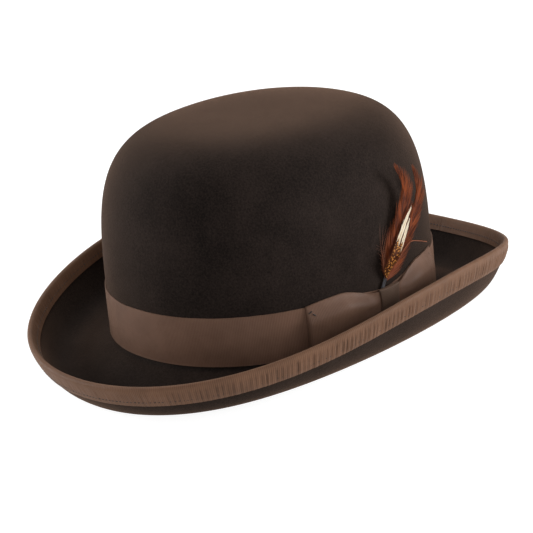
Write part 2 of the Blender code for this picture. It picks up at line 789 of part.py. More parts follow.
def make_lining(parent):
    joint = lining_joint_row()
    spare = row_step(joint, PIPING_RADIUS + 2.0 * GAP)
    foot_row = row_at_height(LINING_FOOT)
    between = [row for row in crown_rows() if foot_row + 0.02 < row < joint - spare - 0.005]
    rows = [foot_row] + between + [joint - spare]
    angles = strip_angles(math.pi / 2.0)
    near = [[felt_point(angle, row, FELT + GAP) for row in rows] for angle in angles]
    far = [[felt_point(angle, row, FELT + GAP + SATIN) for row in rows] for angle in angles]
    points, faces = sheet_between(near, far, False)
    make_object("lining_side", points, faces, (0.055, 0.045, 0.040), 0.35, parent)
    path = [felt_point(angle, joint, FELT + GAP + PIPING_RADIUS) for angle in column_angles()]
    points, faces = rod_along(path, PIPING_RADIUS, 6, True)
    make_object("lining_piping", points, faces, (0.045, 0.036, 0.032), 0.40, parent)
    rows = [joint + spare] + [row for row in crown_rows() if row > joint + spare + 0.005]
    upper = [[felt_point(angle, row, FELT + GAP) for angle in column_angles()] for row in reversed(rows)]
    lower = [[felt_point(angle, row, FELT + GAP + SATIN) for angle in column_angles()] for row in rows]
    above = np.array([0.0, 0.0, CROWN_HEIGHT - FELT - GAP])
    below = np.array([0.0, 0.0, CROWN_HEIGHT - FELT - GAP - SATIN])
    points, faces = closed_rings(upper + lower, above, below)
    make_object("lining_tip", points, faces, (0.055, 0.045, 0.040), 0.35, parent)


def main():
    clear_scene()
    hat = bpy.data.objects.new("hat_on_table", None)
    bpy.context.scene.collection.objects.link(hat)
    hat.location = (0.0, 0.0, LIFT)
    make_felt(hat)
    make_binding(hat)
    make_binding_thread(hat)
    make_band(hat)
    make_bow(hat)
    axis = make_feather_axis(hat)
    make_stem(axis)
    make_feathers(axis)
    make_sweatband(hat)
    make_reed(hat)
    make_reed_tape(hat)
    make_sweatband_thread(hat)
    make_seam_thread(hat)
    make_small_bow(hat)
    make_lining(hat)


main()
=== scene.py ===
import math

import bmesh
import bpy
import numpy as np
from mathutils import Matrix, Vector


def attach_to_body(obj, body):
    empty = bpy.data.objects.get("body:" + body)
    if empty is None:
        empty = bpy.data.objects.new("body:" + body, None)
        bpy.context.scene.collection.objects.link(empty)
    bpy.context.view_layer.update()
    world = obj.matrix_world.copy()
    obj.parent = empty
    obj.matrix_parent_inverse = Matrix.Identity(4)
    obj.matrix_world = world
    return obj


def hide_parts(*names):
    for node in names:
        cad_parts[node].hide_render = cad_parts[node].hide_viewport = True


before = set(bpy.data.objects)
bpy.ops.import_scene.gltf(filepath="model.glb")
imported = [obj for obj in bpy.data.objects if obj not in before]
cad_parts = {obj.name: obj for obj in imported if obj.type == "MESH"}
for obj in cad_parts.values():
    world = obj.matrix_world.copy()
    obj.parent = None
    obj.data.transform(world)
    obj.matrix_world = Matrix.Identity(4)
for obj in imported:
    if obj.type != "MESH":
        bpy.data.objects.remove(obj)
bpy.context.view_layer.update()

hatShape = {
    "halfLength": 0.1025, "halfWidth": 0.0880, "height": 0.1210,  # crown at its foot, and its rise
    "ovalFullness": 2.10, "wallFullness": 4.26, "topFullness": 4.80, "shoulder": 0.86,
    "felt": 0.0025, "corner": 0.0030,
    "reachSide": 0.0320, "reachEnd": 0.0510,  # how far the brim stands out
    "curlSide": 0.0330, "curlFront": 0.0064, "curlBack": 0.0084, "curlLag": 0.205,
    "edgeSlopeSide": math.radians(77.5), "edgeSlopeEnd": math.radians(66.5),
    "rootSlopeSide": math.radians(10.0),
    "rootSlopeFront": math.radians(-22.5), "rootSlopeBack": math.radians(-29.95),
    "rootPull": 0.475, "edgePull": 0.755,
    "lift": 0.0160027,  # the brim's corner above the table
}


class nodeValue:
    # Sums on node sockets, written as ordinary arithmetic.
    def __init__(self, tree, socket):
        self.tree = tree
        self.socket = socket

    def apply(self, kind, *others):
        node = self.tree.nodes.new("ShaderNodeMath")
        node.operation = kind
        for place, value in enumerate((self, *others)):
            if isinstance(value, nodeValue):
                self.tree.links.new(value.socket, node.inputs[place])
            else:
                node.inputs[place].default_value = float(value)
        return nodeValue(self.tree, node.outputs[0])

    def __add__(self, other):
        return self.apply("ADD", other)

    def __mul__(self, other):
        return self.apply("MULTIPLY", other)

    def __sub__(self, other):
        return self.apply("SUBTRACT", other)

    def __truediv__(self, other):
        return self.apply("DIVIDE", other)

    def __pow__(self, other):
        return self.apply("POWER", other)

    def __rsub__(self, other):
        return self * -1.0 + other

    def __rtruediv__(self, other):
        return (self ** -1.0) * other

    __radd__ = __add__
    __rmul__ = __mul__


class nodeSums:
    # The few functions the hat's formulas need, named as numpy names them.
    @staticmethod
    def sin(value):
        return value.apply("SINE")

    @staticmethod
    def cos(value):
        return value.apply("COSINE")

    @staticmethod
    def abs(value):
        return value.apply("ABSOLUTE")

    @staticmethod
    def sign(value):
        return value.apply("SIGN")

    @staticmethod
    def sqrt(value):
        return value.apply("SQRT")

    @staticmethod
    def clip(value, low, high):
        return value.apply("MAXIMUM", low).apply("MINIMUM", high)


def ovalFoot(sums, s, angle):
    # The crown's oval at its foot, and the level direction straight out of it.
    cosine, sine = sums.cos(angle), sums.sin(angle)
    power = 2.0 / s["ovalFullness"]
    footX = s["halfWidth"] * sums.sign(cosine) * sums.abs(cosine) ** power
    footY = s["halfLength"] * sums.sign(sine) * sums.abs(sine) ** power
    outX = sums.sign(cosine) * sums.abs(cosine) ** (2.0 - power) / s["halfWidth"]
    outY = sums.sign(sine) * sums.abs(sine) ** (2.0 - power) / s["halfLength"]
    size = sums.sqrt(outX * outX + outY * outY)
    return footX, footY, outX / size, outY / size


def roundTheHead(sums, s, angle, side, front, back):
    # Eases a size from its value at the sides to its values at the front and back.
    turn = sums.sin(angle - s["curlLag"] * sums.cos(angle))
    middle = (front + back) / 2.0
    return side + (middle - side) * turn * turn + (back - front) / 2.0 * turn * turn * turn


def facePlace(sums, s, angle, row):
    # The felt's outer face: rows 0 to 1 cross the brim, 1 to 2 turn the corner, 2 to 3 climb the crown.
    footX, footY, outX, outY = ovalFoot(sums, s, angle)
    sine = sums.sin(angle)
    reach = s["reachSide"] + (s["reachEnd"] - s["reachSide"]) * sine * sine
    curl = roundTheHead(sums, s, angle, s["curlSide"], s["curlFront"], s["curlBack"])
    root = roundTheHead(sums, s, angle, s["rootSlopeSide"], s["rootSlopeFront"], s["rootSlopeBack"])
    edge = roundTheHead(sums, s, angle, s["edgeSlopeSide"], s["edgeSlopeEnd"], s["edgeSlopeEnd"])
    chord = sums.sqrt(reach * reach + curl * curl)
    start = s["corner"] / (3.0 * s["rootPull"] * chord)
    share = 1.0 - sums.clip(row, 0.0, 1.0) * (1.0 - start)
    rest = 1.0 - share
    first = 3.0 * rest * rest * share * s["rootPull"] * chord
    second = 3.0 * rest * share * share
    third = share * share * share
    pull = s["edgePull"] * chord
    across = first * sums.cos(root) + second * (reach - pull * sums.cos(edge)) + third * reach
    up = first * sums.sin(root) + second * (curl - pull * sums.sin(edge)) + third * curl
    turn = sums.clip(row - 1.0, 0.0, 1.0)
    across = across * (1.0 - turn) * (1.0 - turn)
    up = up * (1.0 - turn) * (1.0 - turn) + s["corner"] * turn * turn
    rise = sums.clip(row - 2.0, 0.0, 1.0)
    low = s["corner"] / s["height"]
    wall = low + (s["shoulder"] - low) * sums.clip(rise * 2.0, 0.0, 1.0)
    over = sums.clip(rise * 2.0 - 1.0, 0.0, 1.0)
    scale = (1.0 - wall ** s["wallFullness"]) ** (1.0 / s["topFullness"]) * (1.0 - over)
    top = (1.0 - scale ** s["topFullness"]) ** (1.0 / s["wallFullness"])
    climb = s["height"] * (wall + (top - s["shoulder"]) * sums.sign(over)) - s["corner"]
    return footX * scale + outX * across, footY * scale + outY * across, up + climb + s["lift"]


def faceAt(angle, row):
    angle, row = np.broadcast_arrays(np.asarray(angle, float), np.asarray(row, float))
    return np.stack(facePlace(np, hatShape, angle, row), -1)


def normalAt(angle, row):
    tiny = 1e-4
    row = np.minimum(np.asarray(row, float), 2.999)
    along = faceAt(angle + tiny, row) - faceAt(angle - tiny, row)
    inward = faceAt(angle, row + tiny) - faceAt(angle, np.maximum(row - tiny, 0.0))
    normal = np.cross(along, inward)
    return normal / np.linalg.norm(normal, axis=-1, keepdims=True)


def feltAt(angle, row, depth):
    # A place below (or, with a negative depth, above) the felt's outer face.
    return faceAt(angle, row) - normalAt(angle, row) * np.asarray(depth, float)[..., None]


def wallAt(angle, height, outward):
    # A place beside the crown's wall, at a height above the corner.
    angle, height, outward = np.broadcast_arrays(*(np.asarray(v, float) for v in (angle, height, outward)))
    footX, footY, outX, outY = ovalFoot(np, hatShape, angle)
    share = np.maximum(height, 0.0) / hatShape["height"]
    scale = (1.0 - share ** hatShape["wallFullness"]) ** (1.0 / hatShape["topFullness"])
    return np.stack([footX * scale + outX * outward, footY * scale + outY * outward,
                     height + hatShape["lift"]], -1)


def rowAtHeight(height):
    low = hatShape["corner"] / hatShape["height"]
    share = np.asarray(height, float) / hatShape["height"]
    return 2.0 + (share - low) / (hatShape["shoulder"] - low) / 2.0


def rowsFromEdge(angles, distances):
    # For each angle, the brim rows that lie these distances in from the edge.
    rows = np.linspace(0.0, 0.8, 48)
    places = faceAt(angles[:, None], rows[None, :])
    steps = np.linalg.norm(np.diff(places, axis=1), axis=-1)
    lengths = np.concatenate([np.zeros((len(angles), 1)), np.cumsum(steps, 1)], 1)
    return np.array([np.interp(distances, length, rows) for length in lengths])


wallAngles = np.linspace(-math.pi, math.pi, 2881)
wallSteps = np.linalg.norm(np.diff(wallAt(wallAngles, 0.0, 0.0), axis=0), axis=-1)
wallLengths = np.concatenate([[0.0], np.cumsum(wallSteps)])


def angleAlong(start, distance):
    # The angle reached by going a distance round the wall from a starting angle.
    return np.interp(np.interp(start, wallAngles, wallLengths) + distance, wallLengths, wallAngles)


def stripRound(seam, count, gap=0.0018):
    # The angles of a strip's columns, from one side of its seam round to the other.
    return seam + np.linspace(gap, 2.0 * math.pi - gap, count)


def ease(value):
    value = np.clip(value, 0.0, 1.0)
    return value * value * (3.0 - 2.0 * value)


def setInputs(modifier, values):
    for item in modifier.node_group.interface.items_tree:
        if item.item_type == "SOCKET" and item.in_out == "INPUT" and item.name in values:
            modifier[item.identifier] = values[item.name]


def openTree(tree):
    # The tree, its inputs by name, and its output node.
    given = tree.nodes.new("NodeGroupInput")
    values = {socket.name: nodeValue(tree, socket) for socket in given.outputs}
    return tree, values, tree.nodes.new("NodeGroupOutput")


def newTree(name, inputs):
    # A geometry tree with one geometry in and out, and named inputs with their usual values.
    tree = bpy.data.node_groups.new(name, "GeometryNodeTree")
    tree.interface.new_socket("Geometry", in_out="INPUT", socket_type="NodeSocketGeometry")
    tree.interface.new_socket("Geometry", in_out="OUTPUT", socket_type="NodeSocketGeometry")
    for label, value in inputs.items():
        kind = {int: "NodeSocketInt", float: "NodeSocketFloat"}.get(type(value), "NodeSocketMaterial")
        socket = tree.interface.new_socket(label, in_out="INPUT", socket_type=kind)
        if kind != "NodeSocketMaterial":
            socket.default_value = value
    return openTree(tree)


def feed(tree, value, socket):
    # Puts a plain value or another node's result into a socket.
    if isinstance(value, nodeValue):
        value = value.socket
    if isinstance(value, bpy.types.NodeSocket):
        tree.links.new(value, socket)
    elif value is not None:
        socket.default_value = value


def addNode(tree, kind, wires=None, **settings):
    # One node with its settings; wires gives what goes into its sockets, by name or number.
    node = tree.nodes.new(kind)
    for key, value in settings.items():
        setattr(node, key, value)
    for key, value in (wires or {}).items():
        feed(tree, value, node.inputs[key])
    return node


def geometryNode(tree, kind, wires=None, **settings):
    # A geometry node, given back as its first output.
    return addNode(tree, "GeometryNode" + kind, wires, **settings).outputs[0]


def vectorOf(tree, x=0.0, y=0.0, z=0.0):
    return addNode(tree, "ShaderNodeCombineXYZ", {0: x, 1: y, 2: z}).outputs[0]


def partsOf(tree, vector=None):
    # The x, y and z of a vector, or of each point's own place.
    vector = geometryNode(tree, "InputPosition") if vector is None else vector
    split = addNode(tree, "ShaderNodeSeparateXYZ", {0: vector})
    return [nodeValue(tree, socket) for socket in split.outputs]


def joinAll(tree, *parts):
    both = addNode(tree, "GeometryNodeJoinGeometry")
    for part in parts:
        feed(tree, part, both.inputs[0])
    return both.outputs[0]


def finishTree(name, base, tree, values):
    # Runs a geometry tree on a base object and leaves a plain mesh object in its place.
    base.name = name + "Start"
    modifier = base.modifiers.new(name, "NODES")
    modifier.node_group = tree
    setInputs(modifier, values)
    bpy.context.view_layer.update()
    shown = base.evaluated_get(bpy.context.evaluated_depsgraph_get())
    made = bpy.data.objects.new(name, bpy.data.meshes.new_from_object(shown))
    bpy.data.objects.remove(base)
    made.data.name = name
    bpy.context.scene.collection.objects.link(made)
    return made


def plainObject(name, points, faces, edges=()):
    mesh = bpy.data.meshes.new(name)
    mesh.from_pydata(np.asarray(points, float).reshape(-1, 3).tolist(), list(edges), faces)
    made = bpy.data.objects.new(name, mesh)
    bpy.context.scene.collection.objects.link(made)
    return made


def faceOutward(piece, merge=0.0):
    # Turns a closed body's faces outwards, after its doubled points are merged.
    work = bmesh.new()
    work.from_mesh(piece.data)
    if merge:
        bmesh.ops.remove_doubles(work, verts=work.verts, dist=merge)
    bmesh.ops.recalc_face_normals(work, faces=work.faces)
    work.to_mesh(piece.data)
    work.free()
    return piece


def markPoints(piece, **values):
    # Keeps a number or a direction for each point of a piece, for its geometry nodes and finish.
    for label, value in values.items():
        value = np.asarray(value, np.float32)
        if value.ndim == 1:
            layer = piece.data.attributes.new(label, "FLOAT", "POINT")
            layer.data.foreach_set("value", value)
        else:
            layer = piece.data.attributes.new(label, "FLOAT_VECTOR", "POINT")
            layer.data.foreach_set("vector", value.ravel())
    return piece


def attach(piece, body, *nodes):
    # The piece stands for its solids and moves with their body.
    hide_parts(*nodes)
    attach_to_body(piece, body)
    return piece


def endTree(tree, out, geometry, material):
    # Every tree ends in real geometry with its material.
    solid = geometryNode(tree, "RealizeInstances", {0: geometry})
    feed(tree, geometryNode(tree, "SetMaterial", {"Geometry": solid, "Material": material}), out.inputs[0])


def storeMark(tree, geometry, label, value, domain="POINT"):
    # Keeps a number on the geometry, for the finish to read.
    node = addNode(tree, "GeometryNodeStoreNamedAttribute", {"Geometry": geometry, "Name": label},
                   data_type="FLOAT", domain=domain)
    feed(tree, value, [socket for socket in node.inputs if socket.name == "Value" and socket.enabled][0])
    return node.outputs[0]


def lieAlong(tree):
    # The turn that lays a thing along its path, with its upper side the way the path's points face.
    tangent = geometryNode(tree, "InputTangent")
    facing = geometryNode(tree, "InputNamedAttribute", {"Name": "facing"}, data_type="FLOAT_VECTOR")
    first = addNode(tree, "FunctionNodeAlignRotationToVector", {"Vector": tangent}, axis="X")
    second = addNode(tree, "FunctionNodeAlignRotationToVector",
                     {"Rotation": first.outputs[0], "Vector": facing}, axis="Z", pivot_axis="X")
    return second.outputs[0]


def turnMore(tree, start, extra):
    node = addNode(tree, "FunctionNodeRotateRotation", {0: start, 1: extra}, rotation_space="LOCAL")
    return node.outputs[0]


def dress(piece, finish):
    piece.data.materials.clear()
    piece.data.materials.append(finishes[finish])
    piece.data.shade_smooth()
    piece.data.set_sharp_from_angle(angle=math.radians(60.0))
    return piece


def skinPiece(name, near, far, closed=False):
    # A thin closed body between two matching skins, laid out in columns and rows, with a map in metres:
    # across the map is the way round, up the map is the way across the strip.
    near, far = np.asarray(near), np.asarray(far)
    columns, rows = far.shape[:2]
    middle = far[:, rows // 2]
    if closed:
        middle = np.concatenate([middle, middle[:1]])
    around = np.concatenate([[0.0], np.cumsum(np.linalg.norm(np.diff(middle, axis=0), axis=-1))])
    widths = np.linalg.norm(np.diff(far, axis=1), axis=-1).mean(0)
    across = np.concatenate([[0.0], np.cumsum(widths)])
    half = columns * rows
    faces, spots = [], []
    for column in range(columns if closed else columns - 1):
        here, there = column * rows, ((column + 1) % columns) * rows
        a, b = around[column], around[column + 1]
        for row in range(rows - 1):
            low, high = across[row], across[row + 1]
            ring = (here + row, there + row, there + row + 1, here + row + 1)
            faces.append(tuple(half + place for place in ring))
            spots += [(a, low), (b, low), (b, high), (a, high)]
            faces.append((ring[0], ring[3], ring[2], ring[1]))
            spots += [(a, low), (a, high), (b, high), (b, low)]
        for row, swap in ((0, False), (rows - 1, True)):
            edge = [(here + row, a), (there + row, b), (half + there + row, b), (half + here + row, a)]
            edge = edge[::-1] if swap else edge
            faces.append(tuple(place for place, _ in edge))
            spots += [(spot, across[row]) for _, spot in edge]
    if not closed:
        for column, swap in ((0, True), (columns - 1, False)):
            here = column * rows
            for row in range(rows - 1):
                edge = [(here + row, row), (here + row + 1, row + 1)]
                edge += [(half + place, spot) for place, spot in edge[::-1]]
                edge = edge[::-1] if swap else edge
                faces.append(tuple(place for place, _ in edge))
                spots += [(around[column], across[spot]) for _, spot in edge]
    piece = plainObject(name, np.concatenate([near.reshape(-1, 3), far.reshape(-1, 3)]), faces)
    layer = piece.data.uv_layers.new(name="strip")
    layer.data.foreach_set("uv", np.asarray(spots, np.float32).ravel())
    return faceOutward(piece)


def rodPiece(name, path, radius, sides=8, closed=True):
    # A round rod along a path, its sides carried along without twisting.
    path = np.asarray(path, float)
    count = len(path)
    ahead = np.roll(path, -1, 0) - np.roll(path, 1, 0)
    if not closed:
        ahead[0], ahead[-1] = path[1] - path[0], path[-1] - path[-2]
    ahead /= np.linalg.norm(ahead, axis=1, keepdims=True)
    side = np.cross(ahead[0], (0.0, 0.0, 1.0))
    if np.linalg.norm(side) < 0.3:
        side = np.cross(ahead[0], (1.0, 0.0, 0.0))
    turns = np.linspace(0.0, 2.0 * math.pi, sides, endpoint=False)
    points = []
    for spot, forward in zip(path, ahead):
        side = side - forward * (side @ forward)
        side = side / np.linalg.norm(side)
        other = np.cross(forward, side)
        points += [spot + radius * (math.cos(turn) * side + math.sin(turn) * other) for turn in turns]
    faces = []
    for step in range(count if closed else count - 1):
        a, b = step * sides, ((step + 1) % count) * sides
        faces += [(a + k, a + (k + 1) % sides, b + (k + 1) % sides, b + k) for k in range(sides)]
    if not closed:
        faces.append(tuple(reversed(range(sides))))
        faces.append(tuple(range((count - 1) * sides, count * sides)))
    return faceOutward(plainObject(name, points, faces))


def nodeMaterial(name, colour=None, **fixed):
    # A material with its Principled shader; fixed gives values set straight on its sockets.
    material = bpy.data.materials.new(name)
    material.use_nodes = True
    shader = material.node_tree.nodes["Principled BSDF"]
    if colour:
        shader.inputs["Base Color"].default_value = (*colour, 1.0)
    for key, value in fixed.items():
        shader.inputs[key.replace("_", " ")].default_value = value
    return material, material.node_tree, shader


def newGroup(name, inputs, outputs):
    # A shader group: an input with no usual value is a vector, and every output is a number.
    tree = bpy.data.node_groups.new(name, "ShaderNodeTree")
    for label, value in inputs.items():
        kind = "NodeSocketVector" if value is None else "NodeSocketFloat"
        socket = tree.interface.new_socket(label, in_out="INPUT", socket_type=kind)
        if value is not None:
            socket.default_value = value
    for label in outputs:
        tree.interface.new_socket(label, in_out="OUTPUT", socket_type="NodeSocketFloat")
    return openTree(tree)


def noiseAt(tree, vector, scale, detail=2.0, rough=0.5):
    node = addNode(tree, "ShaderNodeTexNoise",
                   {"Vector": vector, "Scale": scale, "Detail": detail, "Roughness": rough})
    return nodeValue(tree, node.outputs["Fac"])


def mixShade(tree, factor, first, second):
    # A colour between two, each a plain colour or another node's.
    node = addNode(tree, "ShaderNodeMix", {0: factor}, data_type="RGBA")
    for place, value in ((6, first), (7, second)):
        feed(tree, (*value, 1.0) if isinstance(value, tuple) else value, node.inputs[place])
    return nodeValue(tree, node.outputs[2])


def stretchRange(tree, value, low, high, newLow=0.0, newHigh=1.0):
    node = addNode(tree, "ShaderNodeMapRange", {0: value, 1: low, 2: high, 3: newLow, 4: newHigh})
    return nodeValue(tree, node.outputs[0])


def makeNapGroup():
    # Fur felt: fine fibres, small tufts and a soft mottle.
    tree, given, out = newGroup("furNap", {"Vector": None, "Fibre": 2600.0, "Tuft": 900.0, "Patch": 38.0},
                                ("Fibres", "Tufts", "Mottle", "Height"))
    fibres = noiseAt(tree, given["Vector"], given["Fibre"], 3.0, 0.7)
    tufts = noiseAt(tree, given["Vector"], given["Tuft"], 2.0, 0.6)
    mottle = noiseAt(tree, given["Vector"], given["Patch"], 4.0, 0.6)
    return fillGroup(tree, out, Fibres=fibres, Tufts=tufts, Mottle=mottle, Height=fibres * 0.5 + tufts * 0.5)


def fillGroup(tree, out, **values):
    for label, value in values.items():
        feed(tree, value, out.inputs[label])
    return tree


def makeRibGroup():
    # Grosgrain ribbon: ribs that run across the strip, with the fine crossing threads between them.
    tree, given, out = newGroup("ribbonRibs", {"Map": None, "Rib width": 0.0007, "Thread width": 0.00035},
                                ("Rib", "Thread", "Height", "Uneven"))
    along, across, _ = partsOf(tree, given["Map"])
    uneven = noiseAt(tree, given["Map"], 180.0, 3.0, 0.6)
    turn = 2.0 * math.pi
    ribs = ((along / given["Rib width"] + uneven * 0.6) * turn).apply("SINE") * 0.5 + 0.5
    threads = (across / given["Thread width"] * turn).apply("SINE") * 0.5 + 0.5
    height = ribs ** 0.6 * 0.8 + threads * 0.2
    return fillGroup(tree, out, Rib=ribs, Thread=threads, Height=height, Uneven=uneven)


def makeGrainGroup():
    # Leather: small creased cells under a slow change of tone.
    tree, given, out = newGroup("leatherGrain", {"Vector": None, "Cell": 1500.0, "Patch": 30.0},
                                ("Grain", "Cloud"))
    cells = addNode(tree, "ShaderNodeTexVoronoi", {"Vector": given["Vector"], "Scale": given["Cell"]})
    cloud = noiseAt(tree, given["Vector"], given["Patch"], 5.0, 0.65)
    grain = 1.0 - nodeValue(tree, cells.outputs["Distance"]) * 1.1
    return fillGroup(tree, out, Grain=grain, Cloud=cloud)


def makeSatinGroup():
    # Close weave: crossing threads with slow slubs.
    tree, given, out = newGroup("closeWeave", {"Vector": None, "Fineness": 1.0}, ("Weave", "Slub"))
    x, y, z = partsOf(tree, given["Vector"])
    pitch = given["Fineness"] * 9000.0
    first = ((x + y * 0.6) * pitch).apply("SINE")
    second = ((z + y * 0.4) * pitch).apply("SINE")
    slub = noiseAt(tree, given["Vector"], 120.0, 4.0, 0.6)
    return fillGroup(tree, out, Weave=first * second * 0.5 + 0.5, Slub=slub)


def paint(tree, shader, colour, rough, height, strength, distance):
    # Feeds a finish's colour, roughness and fine relief into its shader.
    feed(tree, colour, shader.inputs["Base Color"])
    feed(tree, rough, shader.inputs["Roughness"])
    bump = addNode(tree, "ShaderNodeBump", {"Height": height, "Strength": strength, "Distance": distance})
    feed(tree, bump.outputs["Normal"], shader.inputs["Normal"])


def placeGroup(tree, group, **values):
    node = addNode(tree, "ShaderNodeGroup", node_tree=group)
    for label, value in values.items():
        feed(tree, value, node.inputs[label.replace("_", " ")])
    return {socket.name: nodeValue(tree, socket) for socket in node.outputs}


def objectPlace(tree):
    return addNode(tree, "ShaderNodeTexCoord").outputs["Object"]


def pointMark(tree, label):
    return nodeValue(tree, addNode(tree, "ShaderNodeAttribute", attribute_name=label).outputs["Fac"])


napGroup = makeNapGroup()
ribGroup = makeRibGroup()
grainGroup = makeGrainGroup()
satinGroup = makeSatinGroup()


def makeFelt(name, dark, light, sheen):
    # Fur felt: matt, with a short brushed nap that lightens it at glancing angles.
    material, tree, shader = nodeMaterial(name, Roughness=0.86, Specular_IOR_Level=0.10, Sheen_Weight=sheen,
                                          Sheen_Roughness=0.42, Sheen_Tint=(0.95, 0.56, 0.37, 1.0))
    nap = placeGroup(tree, napGroup, Vector=objectPlace(tree))
    blend = nap["Mottle"] * 0.5 + nap["Fibres"] * 0.35 + nap["Tufts"] * 0.65 - 0.25
    colour = mixShade(tree, stretchRange(tree, blend, 0.32, 0.68), dark, light)
    rough = stretchRange(tree, nap["Fibres"], 0.2, 0.8, 0.78, 0.96)
    paint(tree, shader, colour, rough, nap["Height"], 0.6, 0.00035)
    return material


def makeRibbon(name, dark, light, ribWidth=0.0009, gloss=0.22, bump=0.35, sheen=0.12, paintHollowShade=False):
    # Grosgrain: fine ribs across the ribbon, paler on their crests, and, where asked, painted shade that
    # darkens the valleys of its gathers.
    material, tree, shader = nodeMaterial(name, Specular_IOR_Level=gloss, Sheen_Weight=sheen,
                                          Sheen_Roughness=0.45, Sheen_Tint=(0.95, 0.64, 0.46, 1.0))
    stripMap = addNode(tree, "ShaderNodeUVMap", uv_map="strip").outputs[0]
    ribs = placeGroup(tree, ribGroup, Map=stripMap, Rib_width=ribWidth)
    worn = stretchRange(tree, noiseAt(tree, objectPlace(tree), 70.0, 4.0, 0.6), 0.3, 0.7)
    blend = ribs["Rib"] * 0.4 + worn * 0.35 + ribs["Thread"] * 0.25
    # Painted shade: darker in the valleys of the gathers, paler on their crests.
    if paintHollowShade:
        blend = blend * 0.6 + pointMark(tree, "paintedGatherLight") * 0.4
    colour = mixShade(tree, blend, dark, light)
    paint(tree, shader, colour, stretchRange(tree, ribs["Uneven"], 0.3, 0.7, 0.46, 0.64), ribs["Height"],
          bump, 0.00018)
    return material


def makeLeather(name, dark, light):
    material, tree, shader = nodeMaterial(name, Specular_IOR_Level=0.45)
    grain = placeGroup(tree, grainGroup, Vector=objectPlace(tree))
    colour = mixShade(tree, grain["Cloud"] * 0.7 + grain["Grain"] * 0.3, dark, light)
    paint(tree, shader, colour, stretchRange(tree, grain["Cloud"], 0.2, 0.8, 0.36, 0.52), grain["Grain"],
          0.35, 0.00015)
    return material


def makeSatin(name, dark, light, sheen=0.25):
    material, tree, shader = nodeMaterial(name, Specular_IOR_Level=0.6, Sheen_Weight=sheen,
                                          Sheen_Roughness=0.3)
    weave = placeGroup(tree, satinGroup, Vector=objectPlace(tree))
    colour = mixShade(tree, weave["Weave"] * 0.35 + weave["Slub"] * 0.65, dark, light)
    paint(tree, shader, colour, stretchRange(tree, weave["Slub"], 0.3, 0.7, 0.3, 0.42), weave["Weave"],
          0.2, 0.0001)
    return material


def makeThread(name, dark, light):
    # Twisted sewing thread, banded by its plies.
    material, tree, shader = nodeMaterial(name, Specular_IOR_Level=0.4, Sheen_Weight=0.2)
    weave = placeGroup(tree, satinGroup, Vector=objectPlace(tree), Fineness=2.2)
    colour = mixShade(tree, weave["Weave"], dark, light)
    paint(tree, shader, colour, stretchRange(tree, weave["Slub"], 0.3, 0.7, 0.5, 0.7), weave["Weave"],
          0.5, 0.0001)
    return material


def makePlume(name, root, middle, tip, spots=None):
    # Barbs coloured from the feather's root to its tip, in streaks, each barb a little different.
    material, tree, shader = nodeMaterial(name, Specular_IOR_Level=0.16)
    along, single = pointMark(tree, "quillShare"), pointMark(tree, "barbChance")
    outer = pointMark(tree, "barbShare")
    first = mixShade(tree, stretchRange(tree, along, 0.0, 0.35), root, middle)
    spot = vectorOf(tree, along, outer * 0.06)
    clump = stretchRange(tree, noiseAt(tree, spot, 11.0, 3.0, 0.7), 0.38, 0.62)
    blend = clump * 0.85 + single * 0.30 + along * 0.25 + outer * 0.25 - 0.5
    colour = mixShade(tree, stretchRange(tree, blend, 0.0, 1.0), first, tip)
    if spots:
        cells = addNode(tree, "ShaderNodeTexVoronoi",
                        {"Vector": objectPlace(tree), "Scale": spots["perMetre"], "Randomness": 0.75})
        dot = stretchRange(tree, cells.outputs["Distance"], spots["size"], spots["size"] - 0.12)
        colour = mixShade(tree, dot, colour, spots["colour"])
    streak = noiseAt(tree, objectPlace(tree), 900.0, 2.0, 0.6)
    paint(tree, shader, colour, stretchRange(tree, streak, 0.3, 0.7, 0.42, 0.62), streak, 0.3, 0.0001)
    return material


